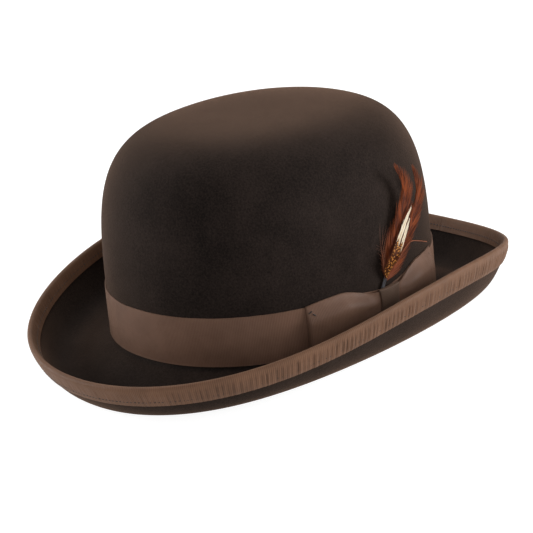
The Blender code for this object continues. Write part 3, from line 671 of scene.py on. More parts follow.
finishes = {
    "felt": makeFelt("brownFurFelt", (0.0062, 0.0043, 0.0036), (0.0225, 0.0155, 0.0128), 0.19),
    # The binding's colour carries painted shade in the valleys of its gathers.
    "binding": makeRibbon("bindingGrosgrain", (0.022, 0.010, 0.006), (0.208, 0.106, 0.061), ribWidth=0.0011,
                          gloss=0.18, bump=0.5, paintHollowShade=True),
    "band": makeRibbon("bandGrosgrain", (0.100, 0.052, 0.033), (0.215, 0.118, 0.079)),
    "bow": makeRibbon("bowGrosgrain", (0.090, 0.047, 0.030), (0.200, 0.109, 0.072)),
    # The knot is the bow's ribbon in darker colours: painted shade for the pinched knot.
    "knot": makeRibbon("knotGrosgrainShaded", (0.070, 0.041, 0.027), (0.130, 0.078, 0.054)),
    "darkThread": makeThread("darkBrownThread", (0.010, 0.006, 0.005), (0.030, 0.019, 0.014)),
    "paleThread": makeThread("tanThread", (0.22, 0.14, 0.08), (0.42, 0.30, 0.19)),
    "leather": makeLeather("tanSweatLeather", (0.110, 0.045, 0.020), (0.200, 0.090, 0.042)),
    "satin": makeSatin("brownSatinLining", (0.022, 0.014, 0.011), (0.050, 0.034, 0.027)),
    "piping": makeSatin("pipingSatin", (0.016, 0.010, 0.008), (0.034, 0.023, 0.018)),
    "smallBow": makeSatin("smallBowSatin", (0.030, 0.019, 0.014), (0.062, 0.042, 0.032)),
    "tape": makeSatin("reedTapeCotton", (0.030, 0.021, 0.016), (0.058, 0.043, 0.034), 0.1),
    "reed": makeThread("caneReed", (0.26, 0.18, 0.09), (0.42, 0.32, 0.19)),
    "quill": makeThread("boundQuills", (0.030, 0.030, 0.036), (0.110, 0.105, 0.115)),
    "rust": makePlume("rustHackle", (0.200, 0.056, 0.026), (0.058, 0.011, 0.003), (0.330, 0.070, 0.014)),
    "wisp": makePlume("wispBarbs", (0.300, 0.100, 0.050), (0.190, 0.072, 0.042), (0.230, 0.105, 0.070)),
    "cream": makePlume("creamPlume", (0.480, 0.310, 0.170), (0.700, 0.590, 0.430), (0.820, 0.745, 0.610)),
    "spotted": makePlume("spottedPlume", (0.050, 0.013, 0.005), (0.045, 0.012, 0.004), (0.110, 0.030, 0.009),
                         {"perMetre": 760.0, "size": 0.42, "colour": (0.520, 0.215, 0.050)}),
}
print("finishes made")

bodySizes = {"Columns": 288, "Rows": 150, "Brim rows share": 0.30, "Corner rows share": 0.06}


bodyLabels = {
    "Crown half length": "halfLength", "Crown half width": "halfWidth", "Crown height": "height",
    "Oval fullness": "ovalFullness", "Wall fullness": "wallFullness", "Top fullness": "topFullness",
    "Shoulder": "shoulder", "Felt thickness": "felt", "Corner": "corner",
    "Reach at sides": "reachSide", "Reach at ends": "reachEnd",
    "Curl at sides": "curlSide", "Curl at front": "curlFront", "Curl at back": "curlBack",
    "Curl lag": "curlLag",
    "Edge slope at sides": "edgeSlopeSide", "Edge slope at ends": "edgeSlopeEnd",
    "Root slope at sides": "rootSlopeSide", "Root slope at front": "rootSlopeFront",
    "Root slope at back": "rootSlopeBack", "Root pull": "rootPull", "Edge pull": "edgePull", "Lift": "lift",
}
mergeGap = 0.00002


def makeBody():
    # The felt, crown and brim in one, from the hat's own formula in geometry nodes.
    values = {label: hatShape[key] for label, key in bodyLabels.items()}
    values.update(bodySizes, Felt=finishes["felt"])
    tree, given, out = newTree("bowlerBody", values)
    sizes = {key: given[label] for label, key in bodyLabels.items()}
    grid = geometryNode(tree, "MeshGrid",
                        {"Size X": 1.0, "Size Y": 1.0, "Vertices X": given["Columns"] + 1.0,
                         "Vertices Y": given["Rows"] + 1.0})
    x, y, _ = partsOf(tree)
    angle, climb = (x + 0.5) * (2.0 * math.pi), y + 0.5
    brimShare, cornerShare = given["Brim rows share"], given["Corner rows share"]
    row = nodeSums.clip(climb / brimShare, 0.0, 1.0)
    row = row + nodeSums.clip((climb - brimShare) / cornerShare, 0.0, 1.0)
    row = row + nodeSums.clip((climb - brimShare - cornerShare) / (1.0 - brimShare - cornerShare), 0.0, 1.0)
    place = vectorOf(tree, *facePlace(nodeSums, sizes, angle, row))
    shaped = geometryNode(tree, "SetPosition", {"Geometry": grid, "Position": place})
    outer = geometryNode(tree, "MergeByDistance", {"Geometry": shaped, "Distance": mergeGap})
    inner = geometryNode(tree, "ExtrudeMesh",
                         {"Mesh": outer, "Offset Scale": sizes["felt"] * -1.0, "Individual": False})
    both = joinAll(tree, outer, geometryNode(tree, "FlipFaces", {"Mesh": inner}))
    shell = geometryNode(tree, "MergeByDistance", {"Geometry": both, "Distance": mergeGap})
    x, y, z = partsOf(tree)
    pressed = vectorOf(tree, x, y, z.apply("MAXIMUM", 0.0))  # flat where it rests on the table
    rested = geometryNode(tree, "SetPosition", {"Geometry": shell, "Position": pressed})
    endTree(tree, out, rested, given["Felt"])
    body = finishTree("feltBody", plainObject("feltStart", [(0, 0, 0)], []), tree, values)
    return attach(dress(faceOutward(body), "felt"), "hat", "felt_body")


makeBody()
print("felt body made")


def makeGatherTree():
    # Puckers cloth where it is gathered: waves along a strip, each a little different.
    tree, given, out = newTree("gatherCloth", {"Spacing": 0.003, "Unevenness": 0.8, "Depth": 0.0003,
                                               "Sharpness": 1.0, "Seed": 0.0, "Cloth": None})
    along, fade, push = (
        nodeValue(tree, geometryNode(tree, "InputNamedAttribute", {"Name": label}, data_type=kind))
        for label, kind in (("along", "FLOAT"), ("fade", "FLOAT"), ("push", "FLOAT_VECTOR")))
    steps = along / given["Spacing"]

    def slowNoise(place, detail):
        node = addNode(tree, "ShaderNodeTexNoise", {"W": place, "Scale": 1.0, "Detail": detail},
                       noise_dimensions="1D")
        return nodeValue(tree, node.outputs[0])

    drift = slowNoise(steps * 0.35 + given["Seed"], 2.0)
    force = slowNoise(steps * 0.8 + given["Seed"] + 50.0, 1.0)
    phase = steps + (drift - 0.5) * given["Unevenness"] * 4.0
    wave = ((phase * (2.0 * math.pi)).apply("COSINE") * 0.5 + 0.5) ** given["Sharpness"]
    strength = nodeSums.clip(force * 2.6 - 0.45, 0.45, 1.0)
    move = addNode(tree, "ShaderNodeVectorMath", {0: push, 3: wave * strength * fade * given["Depth"]},
                   operation="SCALE")
    moved = geometryNode(tree, "SetPosition", {"Geometry": given["Geometry"], "Offset": move.outputs[0]})
    # Painted shade for the finish: 1 on a gather's crest, lower down in its valleys, where shade falls.
    paintedGatherLight = 1.0 - fade * (1.0 - wave) * strength
    endTree(tree, out, storeMark(tree, moved, "paintedGatherLight", paintedGatherLight), given["Cloth"])
    return tree


def makeStitchTree():
    # A row of sunken stitches along a path, each turned to lie on the cloth.
    tree, given, out = newTree("stitchRow", {
        "Pitch": 0.0024, "Stitch length": 0.0015, "Thread radius": 0.0002, "Loft": 0.0002, "Lean": 0.0,
        "Thread": None})
    path = geometryNode(tree, "MeshToCurve", {0: given["Geometry"]})
    spaced = geometryNode(tree, "ResampleCurve", {"Curve": path, "Length": given["Pitch"]}, mode="LENGTH")
    half, loft = given["Stitch length"] * 0.5, given["Loft"]
    start, end = (vectorOf(tree, half * side, 0.0, loft * -1.0) for side in (-1.0, 1.0))
    arc = geometryNode(tree, "CurveQuadraticBezier", {"Resolution": 4, "Start": start, "End": end,
                                                      "Middle": vectorOf(tree, z=loft * 2.0)})
    ring = geometryNode(tree, "CurvePrimitiveCircle", {"Resolution": 5, "Radius": given["Thread radius"]})
    stitch = geometryNode(tree, "CurveToMesh", {"Curve": arc, "Profile Curve": ring, "Fill Caps": True})
    lean = addNode(tree, "FunctionNodeAxisAngleToRotation",
                   {"Axis": (0.0, 0.0, 1.0), "Angle": given["Lean"]}).outputs[0]
    placed = geometryNode(tree, "InstanceOnPoints", {"Points": spaced, "Instance": stitch,
                                                     "Rotation": turnMore(tree, lieAlong(tree), lean)})
    endTree(tree, out, placed, given["Thread"])
    return tree


gatherTree = makeGatherTree()
stitchTree = makeStitchTree()


def stitchPiece(name, rows, thread, values, closed=True):
    # Stitches along one or more paths; each path is its points and the way the cloth faces there.
    points, facing, edges = [], [], []
    for path, away in rows:
        first, count = len(points), len(path)
        points += list(path)
        facing += list(away)
        steps = range(count if closed else count - 1)
        edges += [(first + step, first + (step + 1) % count) for step in steps]
    base = markPoints(plainObject(name + "Path", points, [], edges), facing=facing)
    made = finishTree(name, base, stitchTree, {**values, "Thread": finishes[thread]})
    return dress(faceOutward(made), thread)


bindingSizes = {
    "width": 0.0110, "topWidth": 0.0076, "lift": 0.00012, "ribbon": 0.0005, "flatWidth": 0.0235,
    "columns": 1200, "seam": math.pi / 2.0, "seamGap": 0.0004,
    "gathers": {"Spacing": 0.0030, "Depth": 0.00080, "Unevenness": 0.28, "Sharpness": 0.36, "Seed": 3.0},
    "topGathers": 0.45, "endGathers": 0.3, "stitchInset": 0.0032,
    "stitches": {"Pitch": 0.0024, "Stitch length": 0.0015, "Thread radius": 0.00032, "Loft": 0.00022},
}


def makeBinding():
    # The ribbon folded over the brim's edge, puckered where it is drawn in, with its sewing.
    size = bindingSizes
    felt = hatShape["felt"]
    angles = stripRound(size["seam"], size["columns"], size["seamGap"])
    shares = np.linspace(1.0, 0.0, 10)
    upper = rowsFromEdge(angles, shares * size["topWidth"])
    under = rowsFromEdge(angles, shares * size["width"])
    normal = normalAt(angles, 0.0)
    middle = feltAt(angles, 0.0, np.full(len(angles), felt / 2.0))
    outward = faceAt(angles, 0.0) - faceAt(angles, 0.01)
    outward /= np.linalg.norm(outward, axis=1, keepdims=True)
    leans = np.radians([30.0, 60.0, 90.0, 120.0, 150.0])
    along = np.concatenate([[0.0], np.cumsum(np.linalg.norm(np.diff(faceAt(angles, 0.0), axis=0), axis=1))])

    def skin(spare):
        top = [feltAt(angles, upper[:, place], -spare) for place in range(len(shares))]
        below = [feltAt(angles, under[:, place], felt + spare) for place in range(len(shares))]
        reach = felt / 2.0 + spare
        turn = [middle + reach * (math.cos(lean) * normal + math.sin(lean) * outward) for lean in leans]
        return np.stack(top + turn + below[::-1], 1)

    near, far = skin(size["lift"]), skin(size["lift"] + size["ribbon"])
    push = (far - near) / size["ribbon"]
    away = np.concatenate([shares, np.zeros(len(leans)), shares[::-1]])  # 0 at the fold, 1 at the sewn edges
    fade = ease((away - 0.02) / 0.24) * (1.0 - 0.7 * ease((away - 0.80) / 0.18))
    fade[:len(shares)] *= size["topGathers"]  # calmer on the brim's upper face
    tight = size["endGathers"] + (1.0 - size["endGathers"]) * ease((np.abs(np.cos(angles)) - 0.2) / 0.45)
    shape = near.shape[:2]
    piece = skinPiece("brimBinding", near, far)
    spread = (tight[:, None] * fade).ravel()  # the sharper curve at the sides gathers the ribbon most
    markPoints(piece, along=np.tile(np.repeat(along, shape[1]), 2), fade=np.tile(spread, 2),
               push=np.concatenate([np.zeros((spread.size, 3)), push.reshape(-1, 3)]))
    piece = finishTree("brimBinding", piece, gatherTree, {**size["gathers"], "Cloth": finishes["binding"]})
    dress(piece, "binding")
    attach(piece, "hat", "brim_binding")
    spare = size["lift"] + size["ribbon"]
    paths = []
    for width, depth, sign in ((size["width"], felt + spare, -1.0), (size["topWidth"], -spare, 1.0)):
        rowAt = rowsFromEdge(angles, [width - size["stitchInset"]])[:-1, 0]
        paths.append((feltAt(angles[:-1], rowAt, depth), sign * normalAt(angles[:-1], rowAt)))
    stitches = stitchPiece("bindingStitches", paths, "darkThread", size["stitches"])
    attach(stitches, "hat", "binding_thread")


makeBinding()
print("binding made")

bandSizes = {"height": 0.0305, "foot": 1.7, "lift": 0.0002, "ribbon": 0.0005, "columns": 420,
             "seam": math.radians(2.2), "seamGap": 0.0015, "dip": 0.0035, "dipReach": 0.0240,
             "slack": 0.00015, "waves": ((7.0, 1.0, 0.00013), (17.0, 0.0, 0.0001)), "flat": (0.031, 0.603)}


def makeBand():
    # The wide ribbon round the crown; its ends meet under the bow, whose knot draws it down.
    size = bandSizes
    angles = stripRound(size["seam"], size["columns"], size["seamGap"])
    turn = np.minimum(angles - size["seam"], size["seam"] + 2.0 * math.pi - angles)
    tops = size["height"] - size["dip"] * (1.0 - ease(turn * hatShape["halfWidth"] / size["dipReach"]))
    corner = hatShape["corner"]
    climbs = rowAtHeight(corner + (tops[:, None] - corner) * np.linspace(0.0, 1.0, 14))
    foot = np.broadcast_to(np.linspace(size["foot"], 2.0, 4)[:-1], (len(angles), 3))
    rows = np.concatenate([foot, climbs], 1)
    wave = sum(tall * np.sin(angles * often + start) for often, start, tall in size["waves"])
    share = np.linspace(0.0, 1.0, rows.shape[1])
    slack = size["slack"] * np.sin(share * math.pi) + np.maximum(wave, 0.0)[:, None] * (0.3 + 0.7 * share)
    levels = (size["lift"], size["lift"] + size["ribbon"])
    skins = [feltAt(angles[:, None], rows, -(level + slack)) for level in levels]
    piece = dress(skinPiece("hatBand", *skins), "band")
    attach(piece, "hat", "hat_band")


makeBand()
print("band made")

# Both bows: the loops' reach, height and folds, how the knot pinches them, and how far each part stands out.
bowSizes = {
    "angle": math.radians(2.2), "lift": 0.0008, "length": 0.0550, "low": 0.0025, "ribbon": 0.0004,
    "pinchLow": 0.0150, "pinchHigh": 0.0275, "rise": 0.0062, "drop": 0.0026, "foldRadius": 0.0017,
    "swell": 0.0008, "dome": 0.0016, "crease": 0.00045, "creases": 2.2,
    "knotHalf": 0.0080, "knotOut": 0.0056, "knotBack": 0.0027, "backOut": 0.0026,
    "loopWidth": 0.0300, "knotFlat": (0.0160, 0.0380),
}
smallBowSizes = {
    "angle": math.pi / 2.0, "lift": 0.0002, "length": 0.0130, "low": 0.0015, "ribbon": 0.0003,
    "pinchLow": 0.0032, "pinchHigh": 0.0068, "rise": 0.0019, "drop": 0.0004, "foldRadius": 0.0005,
    "swell": 0.0009, "dome": 0.0004, "crease": 0.0002, "creases": 2.0,
    "knotHalf": 0.0020, "knotOut": 0.0022, "knotBack": 0.0005, "backOut": 0.0006,
}
# The tacks that hold the loops' ends: each stitch's place along and up the bow, and its lean.
tackSizes = {"half": 0.0011, "loft": 0.0003, "radius": 0.00034}
tacks = {
    "bowFrontTack": ("bow_front_tack", ((-0.0530, 0.0278, 0.5), (-0.0510, 0.0262, -0.7))),
    "bowRearTack": ("bow_rear_tack", ((0.0500, 0.0300, 0.6), (0.0515, 0.0285, -0.4))),
}
sweatbandSizes = {
    "inset": 0.0045, "leather": 0.0008, "top": 0.0380, "foot": -0.0016, "roll": 0.0005, "wave": 0.00012,
    "stitches": {"Pitch": 0.0026, "Stitch length": 0.0019, "Thread radius": 0.00022, "Loft": 0.00014},
    "zigzag": {"turns": 12.0, "half": 0.0022, "foot": 0.0120, "rise": 0.0220, "out": 0.0003,
               "radius": 0.00025},
}


def outsidePlace(along, height, out):
    return wallAt(angleAlong(bowSizes["angle"], along), height, out)


def insidePlace(along, height, out):
    depth = sweatbandSizes["inset"] + sweatbandSizes["leather"] + np.asarray(out)
    return wallAt(angleAlong(smallBowSizes["angle"], along), height, -depth)


def loopSection(size, way, phase):
    # A loop's ribbon from the knot out along its back, round the fold, and home along its front.
    start, end, fold = 0.0006, size["length"] - size["foldRadius"], size["foldRadius"]
    reach = np.linspace(start, end, 40)
    turns = np.radians(np.linspace(0.0, 180.0, 9)[1:-1])
    along = np.concatenate([reach, end + fold * np.sin(turns), reach[::-1]])
    front = np.concatenate([np.zeros(40), (1.0 - np.cos(turns)) / 2.0, np.ones(40)])
    run = np.clip((along - size["knotHalf"]) / (size["length"] - size["knotHalf"]), 0.0, 1.0)
    low = size["pinchLow"] - (size["pinchLow"] - size["low"]) * run ** 1.6
    drop = size["drop"] * run ** 4 * (1.0 if way < 0.0 else 0.15)
    high = size["pinchHigh"] + size["rise"] * ease(run / 0.55) - drop
    share = np.linspace(0.0, 1.0, 17)
    heights = low[:, None] + (high - low)[:, None] * share
    back = size["lift"] + size["backOut"] * (1.0 - ease(run / 0.3))
    knotFront = size["lift"] + size["backOut"] + 2.0 * size["ribbon"]
    out = knotFront + (size["lift"] + 2.0 * fold - knotFront) * ease(run)
    swell = size["swell"] * np.sin(math.pi * run ** 0.8) ** 0.9
    bow = 1.0 - (2.0 * share - 1.0) ** 2
    creases = np.exp(-3.6 * run)[:, None] * np.sin(share * size["creases"] * 2.0 * math.pi + phase)
    creases = creases * ease(run * 9.0)[:, None]
    creases += 0.35 * np.exp(-1.2 * run)[:, None] * np.sin(share * 5.0 + run[:, None] * 4.0 + phase)
    dome = size["dome"] * np.sin(math.pi * run)
    face = (out + swell * 0.35)[:, None] + (swell * 0.65 + dome)[:, None] * bow
    face = face + size["crease"] * creases
    tuck = 1.0 - 0.8 * ease((share - 0.62) / 0.38)  # the upper edges lie close together
    tucked = np.maximum(back[:, None] + (face - back[:, None]) * tuck, back[:, None] + size["ribbon"] * 1.05)
    face = np.minimum(face, tucked)
    outs = back[:, None] * (1.0 - front[:, None]) + face * front[:, None]
    return along, heights, np.maximum(outs, size["lift"] + 0.00005 + front[:, None] * 0.0002)


def makeLoop(name, node, size, place, way, finish):
    along, heights, outs = loopSection(size, way, 0.6 if way < 0.0 else 2.1)
    middle = np.stack([np.broadcast_to(along[:, None], outs.shape), outs], -1)
    step = np.gradient(middle, axis=0)
    step /= np.linalg.norm(step, axis=-1, keepdims=True) + 1e-12
    side = np.stack([-step[..., 1], step[..., 0]], -1) * size["ribbon"] / 2.0
    skins = []
    for sign in (-1.0, 1.0):
        spot = middle + side * sign
        skins.append(place(way * spot[..., 0], heights, np.maximum(spot[..., 1], size["lift"])))
    piece = dress(skinPiece(name, *skins), finish)
    return attach(piece, "hat", node)


def makeKnot(name, node, size, place, finish):
    # The short ribbon wrapped right round the pinched middle of the bow.
    low, high = size["pinchLow"] - 0.0004, size["pinchHigh"] + 0.0003
    back, front = size["knotBack"], size["knotOut"]
    turns = np.radians(np.linspace(-90.0, 90.0, 13))
    thick = (front - back) / 2.0
    rise = np.concatenate([high + thick * 0.55 * np.cos(turns), np.linspace(high, low, 14)[1:-1],
                           low - thick * 0.55 * np.cos(turns), np.linspace(low, high, 14)[1:-1]])
    outs = np.concatenate([back + thick * (1.0 + np.sin(turns)), np.full(12, front),
                           back + thick * (1.0 - np.sin(turns)), np.full(12, back)])
    across = np.linspace(-1.0, 1.0, 21)
    facing = np.clip((outs - back) / (front - back), 0.0, 1.0)
    level = (rise - low) / (high - low)
    waist = 1.0 - 0.10 * np.sin(math.pi * np.clip(level, 0.0, 1.0)) * facing
    shape = across[None, :] * size["knotHalf"] * waist[:, None]
    shape = shape + size["knotHalf"] * 0.10 * (level - 0.5)[:, None]
    ripple = 0.03 * size["knotOut"] * np.sin(across[None, :] * 4.5 + 0.8 + level[:, None] * 1.5)
    ends = -0.16 * size["knotOut"] * across[None, :] ** 4
    bulge = 0.10 * size["knotOut"] * np.sin(math.pi * np.clip(level, 0.0, 1.0))[:, None]
    outer = outs[:, None] + facing[:, None] * (ripple + ends + bulge)
    heights = np.broadcast_to(rise[:, None], outer.shape)
    centre = np.array([(low + high) / 2.0, (back + front) / 2.0])
    inward = np.stack([centre[0] - rise, centre[1] - outs], -1)
    inward /= np.linalg.norm(inward, axis=1, keepdims=True)
    inner = inward[:, None, :] * size["ribbon"] * 1.2
    far = place(shape, heights, outer)
    near = place(shape, heights + inner[..., 0], outer + inner[..., 1])
    piece = dress(skinPiece(name, near, far, closed=True), finish)
    attach(piece, "hat", node)
    return piece


def makeBow():
    loops = (("bowFrontLoop", "bow_front_loop", -1.0), ("bowRearLoop", "bow_rear_loop", 1.0))
    for name, node, way in loops:
        loop = makeLoop(name, node, bowSizes, outsidePlace, way, "bow")
    knot = makeKnot("bowKnot", "bow_knot", bowSizes, outsidePlace, "knot")
    for name, (node, spots) in tacks.items():
        rods = []
        for along, height, lean in spots:
            steps = np.linspace(-tackSizes["half"], tackSizes["half"], 5)
            arch = tackSizes["loft"] * (1.0 - (steps / tackSizes["half"]) ** 2)
            path = outsidePlace(along + steps * math.cos(lean), height + steps * math.sin(lean),
                                tackLevel(abs(along), height) + arch)
            rods.append(rodPiece(name + str(len(rods)), path, tackSizes["radius"], 7, closed=False))
        attach(dress(joinPieces(name, rods), "darkThread"), "hat", node)


def tackLevel(distance, height):
    along, heights, outs = loopSection(bowSizes, -1.0, 0.6)
    column = 47 + int(np.argmin(np.abs(along[47:] - distance)))
    return float(np.interp(height, heights[column], outs[column])) + bowSizes["ribbon"] / 2.0


def joinPieces(name, pieces):
    # Several plain pieces as one.
    points, faces = [], []
    for piece in pieces:
        first = len(points)
        points += [tuple(vertex.co) for vertex in piece.data.vertices]
        faces += [tuple(first + corner for corner in polygon.vertices) for polygon in piece.data.polygons]
        bpy.data.objects.remove(piece)
    return plainObject(name, points, faces)


makeBow()
print("bow made")


def makeBarbTree():
    # Barbs down both sides of a quill: thin tapered blades, swept towards the tip.
    tree, given, out = newTree("barbRows", {
        "Barbs a side": 160, "Length at middle": 0.012, "Length at root": 0.008, "Length at tip": 0.006,
        "Width": 0.0005, "Thickness": 0.00008, "Lean at root": 0.45, "Lean at tip": 0.12, "Curl": 0.14,
        "Left share": 1.0, "Spread": 0.1, "Length chance": 0.25, "Fan": 0.1, "Quill radius": 0.0003,
        "Seed": 1, "Plume": None})
    path = geometryNode(tree, "MeshToCurve", {0: given["Geometry"]})
    spaced = geometryNode(tree, "ResampleCurve", {"Curve": path, "Count": given["Barbs a side"]})
    plain = geometryNode(tree, "MeshCube", {"Size": (1.0, 1.0, 1.0), "Vertices X": 7, "Vertices Y": 2,
                                            "Vertices Z": 2})
    x, y, z = partsOf(tree)
    x = x + 0.5
    taper = nodeSums.clip(1.0 - x ** 2.2 * 0.9, 0.05, 1.0) * nodeSums.clip(x * 5.0 + 0.35, 0.35, 1.0)
    wide, thick = given["Width"] / given["Length at middle"], given["Thickness"] / given["Length at middle"]
    share = nodeValue(tree, geometryNode(tree, "SplineParameter"))
    hump = share * (1.0 - share) * 4.0
    length = given["Length at root"] * (1.0 - share) + given["Length at tip"] * share
    length = length * (1.0 - hump) + given["Length at middle"] * hump
    lean = given["Lean at root"] * (1.0 - share) + given["Lean at tip"] * share
    spaced = storeMark(tree, spaced, "quillShare", share)
    marked = storeMark(tree, plain, "barbShare", x)
    upright = lieAlong(tree)
    parts = []
    for side, offset in ((1.0, 0.0), (-1.0, 40.0)):
        bent = vectorOf(tree, x, y * taper * wide - x * x * given["Curl"] * side, z * taper * thick)
        blade = geometryNode(tree, "SetPosition", {"Geometry": marked, "Position": bent})
        seed = given["Seed"] + offset
        chances = []
        for count in range(3):
            node = addNode(tree, "FunctionNodeRandomValue", {2: 0.0, 3: 1.0, "Seed": seed + count * 7.0},
                           data_type="FLOAT")
            chances.append(nodeValue(tree, node.outputs[1]))
        swing = (lean + (chances[0] - 0.5) * given["Spread"]) * side
        turn = vectorOf(tree, 0.0, (chances[1] - 0.5) * given["Fan"], swing)
        turn = addNode(tree, "FunctionNodeEulerToRotation", {0: turn}).outputs[0]
        size = length * (1.0 - chances[2] * given["Length chance"])
        if side > 0.0:
            size = size * given["Left share"]
        placed = geometryNode(tree, "InstanceOnPoints",
                              {"Points": spaced, "Instance": blade, "Scale": vectorOf(tree, size, size, size),
                               "Rotation": turnMore(tree, upright, turn)})
        placed = storeMark(tree, placed, "barbChance", chances[1], "INSTANCE")
        parts.append(geometryNode(tree, "RealizeInstances", {0: placed}))
    ring = geometryNode(tree, "CurvePrimitiveCircle", {"Resolution": 6, "Radius": given["Quill radius"]})
    narrowing = 1.0 - share * 0.8
    thin = geometryNode(tree, "SetCurveRadius", {"Curve": path, "Radius": narrowing})
    quill = addNode(tree, "GeometryNodeCurveToMesh",
                    {"Curve": thin, "Profile Curve": ring, "Fill Caps": True})
    if "Scale" in quill.inputs:
        feed(tree, narrowing, quill.inputs["Scale"])
    endTree(tree, out, joinAll(tree, *parts, quill.outputs[0]), given["Plume"])
    return tree


barbTree = makeBarbTree()

bunchSizes = {"lean": math.radians(30.0), "height": 0.0315, "out": 0.0019, "layer": 0.0010, "spread": 0.0140}
# Each feather's line is its quill, across and up the bunch. Lengths are at root, middle and tip, leans at
# root and tip; "more" holds any other input of the barb tree.
feathers = {
    "longRearFeather": {
        "node": "feather_long_rear", "finish": "rust", "layer": 0.0, "barbs": 170, "seed": 11,
        "line": ((0.0022, 0.0005), (0.0058, 0.0110), (0.0080, 0.0240), (0.0098, 0.0350),
                 (0.0100, 0.0440), (0.0086, 0.0515), (0.0050, 0.0580), (0.0008, 0.0630)),
        "lengths": (0.0120, 0.0165, 0.0070), "leans": (0.62, 0.20), "curl": 0.15,
        "more": {"Left share": 1.1}},
    "longFrontFeather": {
        "node": "feather_long_front", "finish": "rust", "layer": 1.0, "barbs": 170, "seed": 12,
        "line": ((0.0006, 0.0005), (-0.0012, 0.0130), (-0.0012, 0.0255), (-0.0012, 0.0370),
                 (-0.0030, 0.0475), (-0.0078, 0.0550), (-0.0145, 0.0602)),
        "lengths": (0.0130, 0.0175, 0.0070), "leans": (0.80, 0.20), "curl": 0.19,
        "more": {"Left share": 1.15}},
    "whiteRearFeather": {
        "node": "feather_white_rear", "finish": "cream", "layer": 2.0, "barbs": 80, "seed": 13,
        "line": ((0.0036, 0.0150), (0.0041, 0.0220), (0.0043, 0.0290), (0.0045, 0.0345)),
        "lengths": (0.0050, 0.0070, 0.0038), "leans": (0.36, 0.14), "curl": 0.13,
        "more": {"Width": 0.0006, "Fan": 0.03}},
    "whiteFrontFeather": {
        "node": "feather_white_front", "finish": "cream", "layer": 3.0, "barbs": 100, "seed": 14,
        "line": ((-0.0016, 0.0150), (-0.0008, 0.0240), (0.0002, 0.0330), (0.0014, 0.0410)),
        "lengths": (0.0055, 0.0085, 0.0042), "leans": (0.44, 0.14), "curl": 0.15,
        "more": {"Width": 0.0006, "Fan": 0.03}},
    "spottedFeather": {
        "node": "feather_spotted", "finish": "spotted", "layer": 5.0, "barbs": 130, "seed": 15,
        "line": ((-0.0004, 0.0008), (-0.0022, 0.0060), (-0.0030, 0.0110), (-0.0027, 0.0165),
                 (-0.0022, 0.0200)),
        "lengths": (0.0040, 0.0068, 0.0050), "leans": (0.85, 0.70), "curl": 0.22,
        "more": {"Width": 0.0007, "Fan": 0.02, "Length chance": 0.12}},
    "looseWisps": {
        "node": "feather_wisps", "finish": "wisp", "layer": 4.0, "barbs": 15, "seed": 16,
        "line": ((-0.0006, 0.0010), (-0.0060, 0.0062), (-0.0118, 0.0118), (-0.0160, 0.0165)),
        "lengths": (0.0120, 0.0180, 0.0150), "leans": (0.25, 0.55), "curl": -0.04,
        "more": {"Left share": 0.45, "Width": 0.00018, "Thickness": 0.00014, "Spread": 0.7, "Fan": 0.10,
                 "Length chance": 0.5}},
}
# The bare quills, each with its place across and out and its top; and the one stray barb, as a line.
quillSizes = {"foot": -0.0120, "radius": 0.00042, "inward": 0.0002,
              "rods": ((-0.0009, 0.0, 0.0020), (0.0, 0.0004, 0.0034), (0.0008, -0.0002, 0.0028),
                       (0.0003, -0.0005, 0.0015))}
straySizes = {"out": 0.0012, "radius": 0.00022,
              "line": ((0.0040, 0.0100), (0.0075, 0.0200), (0.0113, 0.0256), (0.0175, 0.0275),
                       (0.0255, 0.0288))}


def smoothLine(points, count):
    # A smooth line through a few points (Catmull-Rom).
    points = np.asarray(points, float)
    points = np.concatenate([2.0 * points[:1] - points[1:2], points, 2.0 * points[-1:] - points[-2:-1]])
    share = np.linspace(0.0, len(points) - 3.0, count)
    first = np.minimum(share.astype(int), len(points) - 4)
    t = (share - first)[:, None]
    a, b, c, d = (points[first + step] for step in range(4))
    return 0.5 * (2.0 * b + (c - a) * t + (2.0 * a - 5.0 * b + 4.0 * c - d) * t ** 2
                  + (3.0 * b - a - 3.0 * c + d) * t ** 3)


def bunchPlace(across, along, out):
    # A place in the bunch: across it, along its pull line, and out from the crown.
    _, _, outX, outY = ovalFoot(np, hatShape, np.float64(bowSizes["angle"]))
    facing = np.array([outX, outY, 0.0])
    tangent = np.array([-outY, outX, 0.0])
    up = np.array([0.0, 0.0, 1.0])
    sine, cosine = math.sin(bunchSizes["lean"]), math.cos(bunchSizes["lean"])
    line, side = tangent * sine + up * cosine, tangent * cosine - up * sine
    origin = wallAt(bowSizes["angle"], bunchSizes["height"], bunchSizes["out"])
    across, along, out = (np.asarray(v, float)[..., None] for v in (across, along, out))
    return origin + side * across + line * along + facing * out, facing


def makeFeather(name, facts):
    middle = smoothLine(facts["line"], 48)
    spread = ease(middle[:, 1] / bunchSizes["spread"])  # the layers part above the roots
    level = (facts["layer"] - 0.5) * bunchSizes["layer"]
    path, facing = bunchPlace(middle[:, 0], middle[:, 1],
                              level * spread + 0.0002 * (facts["layer"] - 2.5) * (1.0 - spread))
    edges = [(step, step + 1) for step in range(len(path) - 1)]
    base = markPoints(plainObject(name + "Quill", path, [], edges), facing=np.tile(facing, (len(path), 1)))
    values = {"Barbs a side": facts["barbs"], "Curl": facts["curl"], "Seed": facts["seed"], **facts["more"]}
    values.update(zip(("Length at root", "Length at middle", "Length at tip"), facts["lengths"]))
    values.update(zip(("Lean at root", "Lean at tip"), facts["leans"]), Plume=finishes[facts["finish"]])
    made = finishTree(name, base, barbTree, values)
    return attach(dress(faceOutward(made), facts["finish"]), "feather", facts["node"])


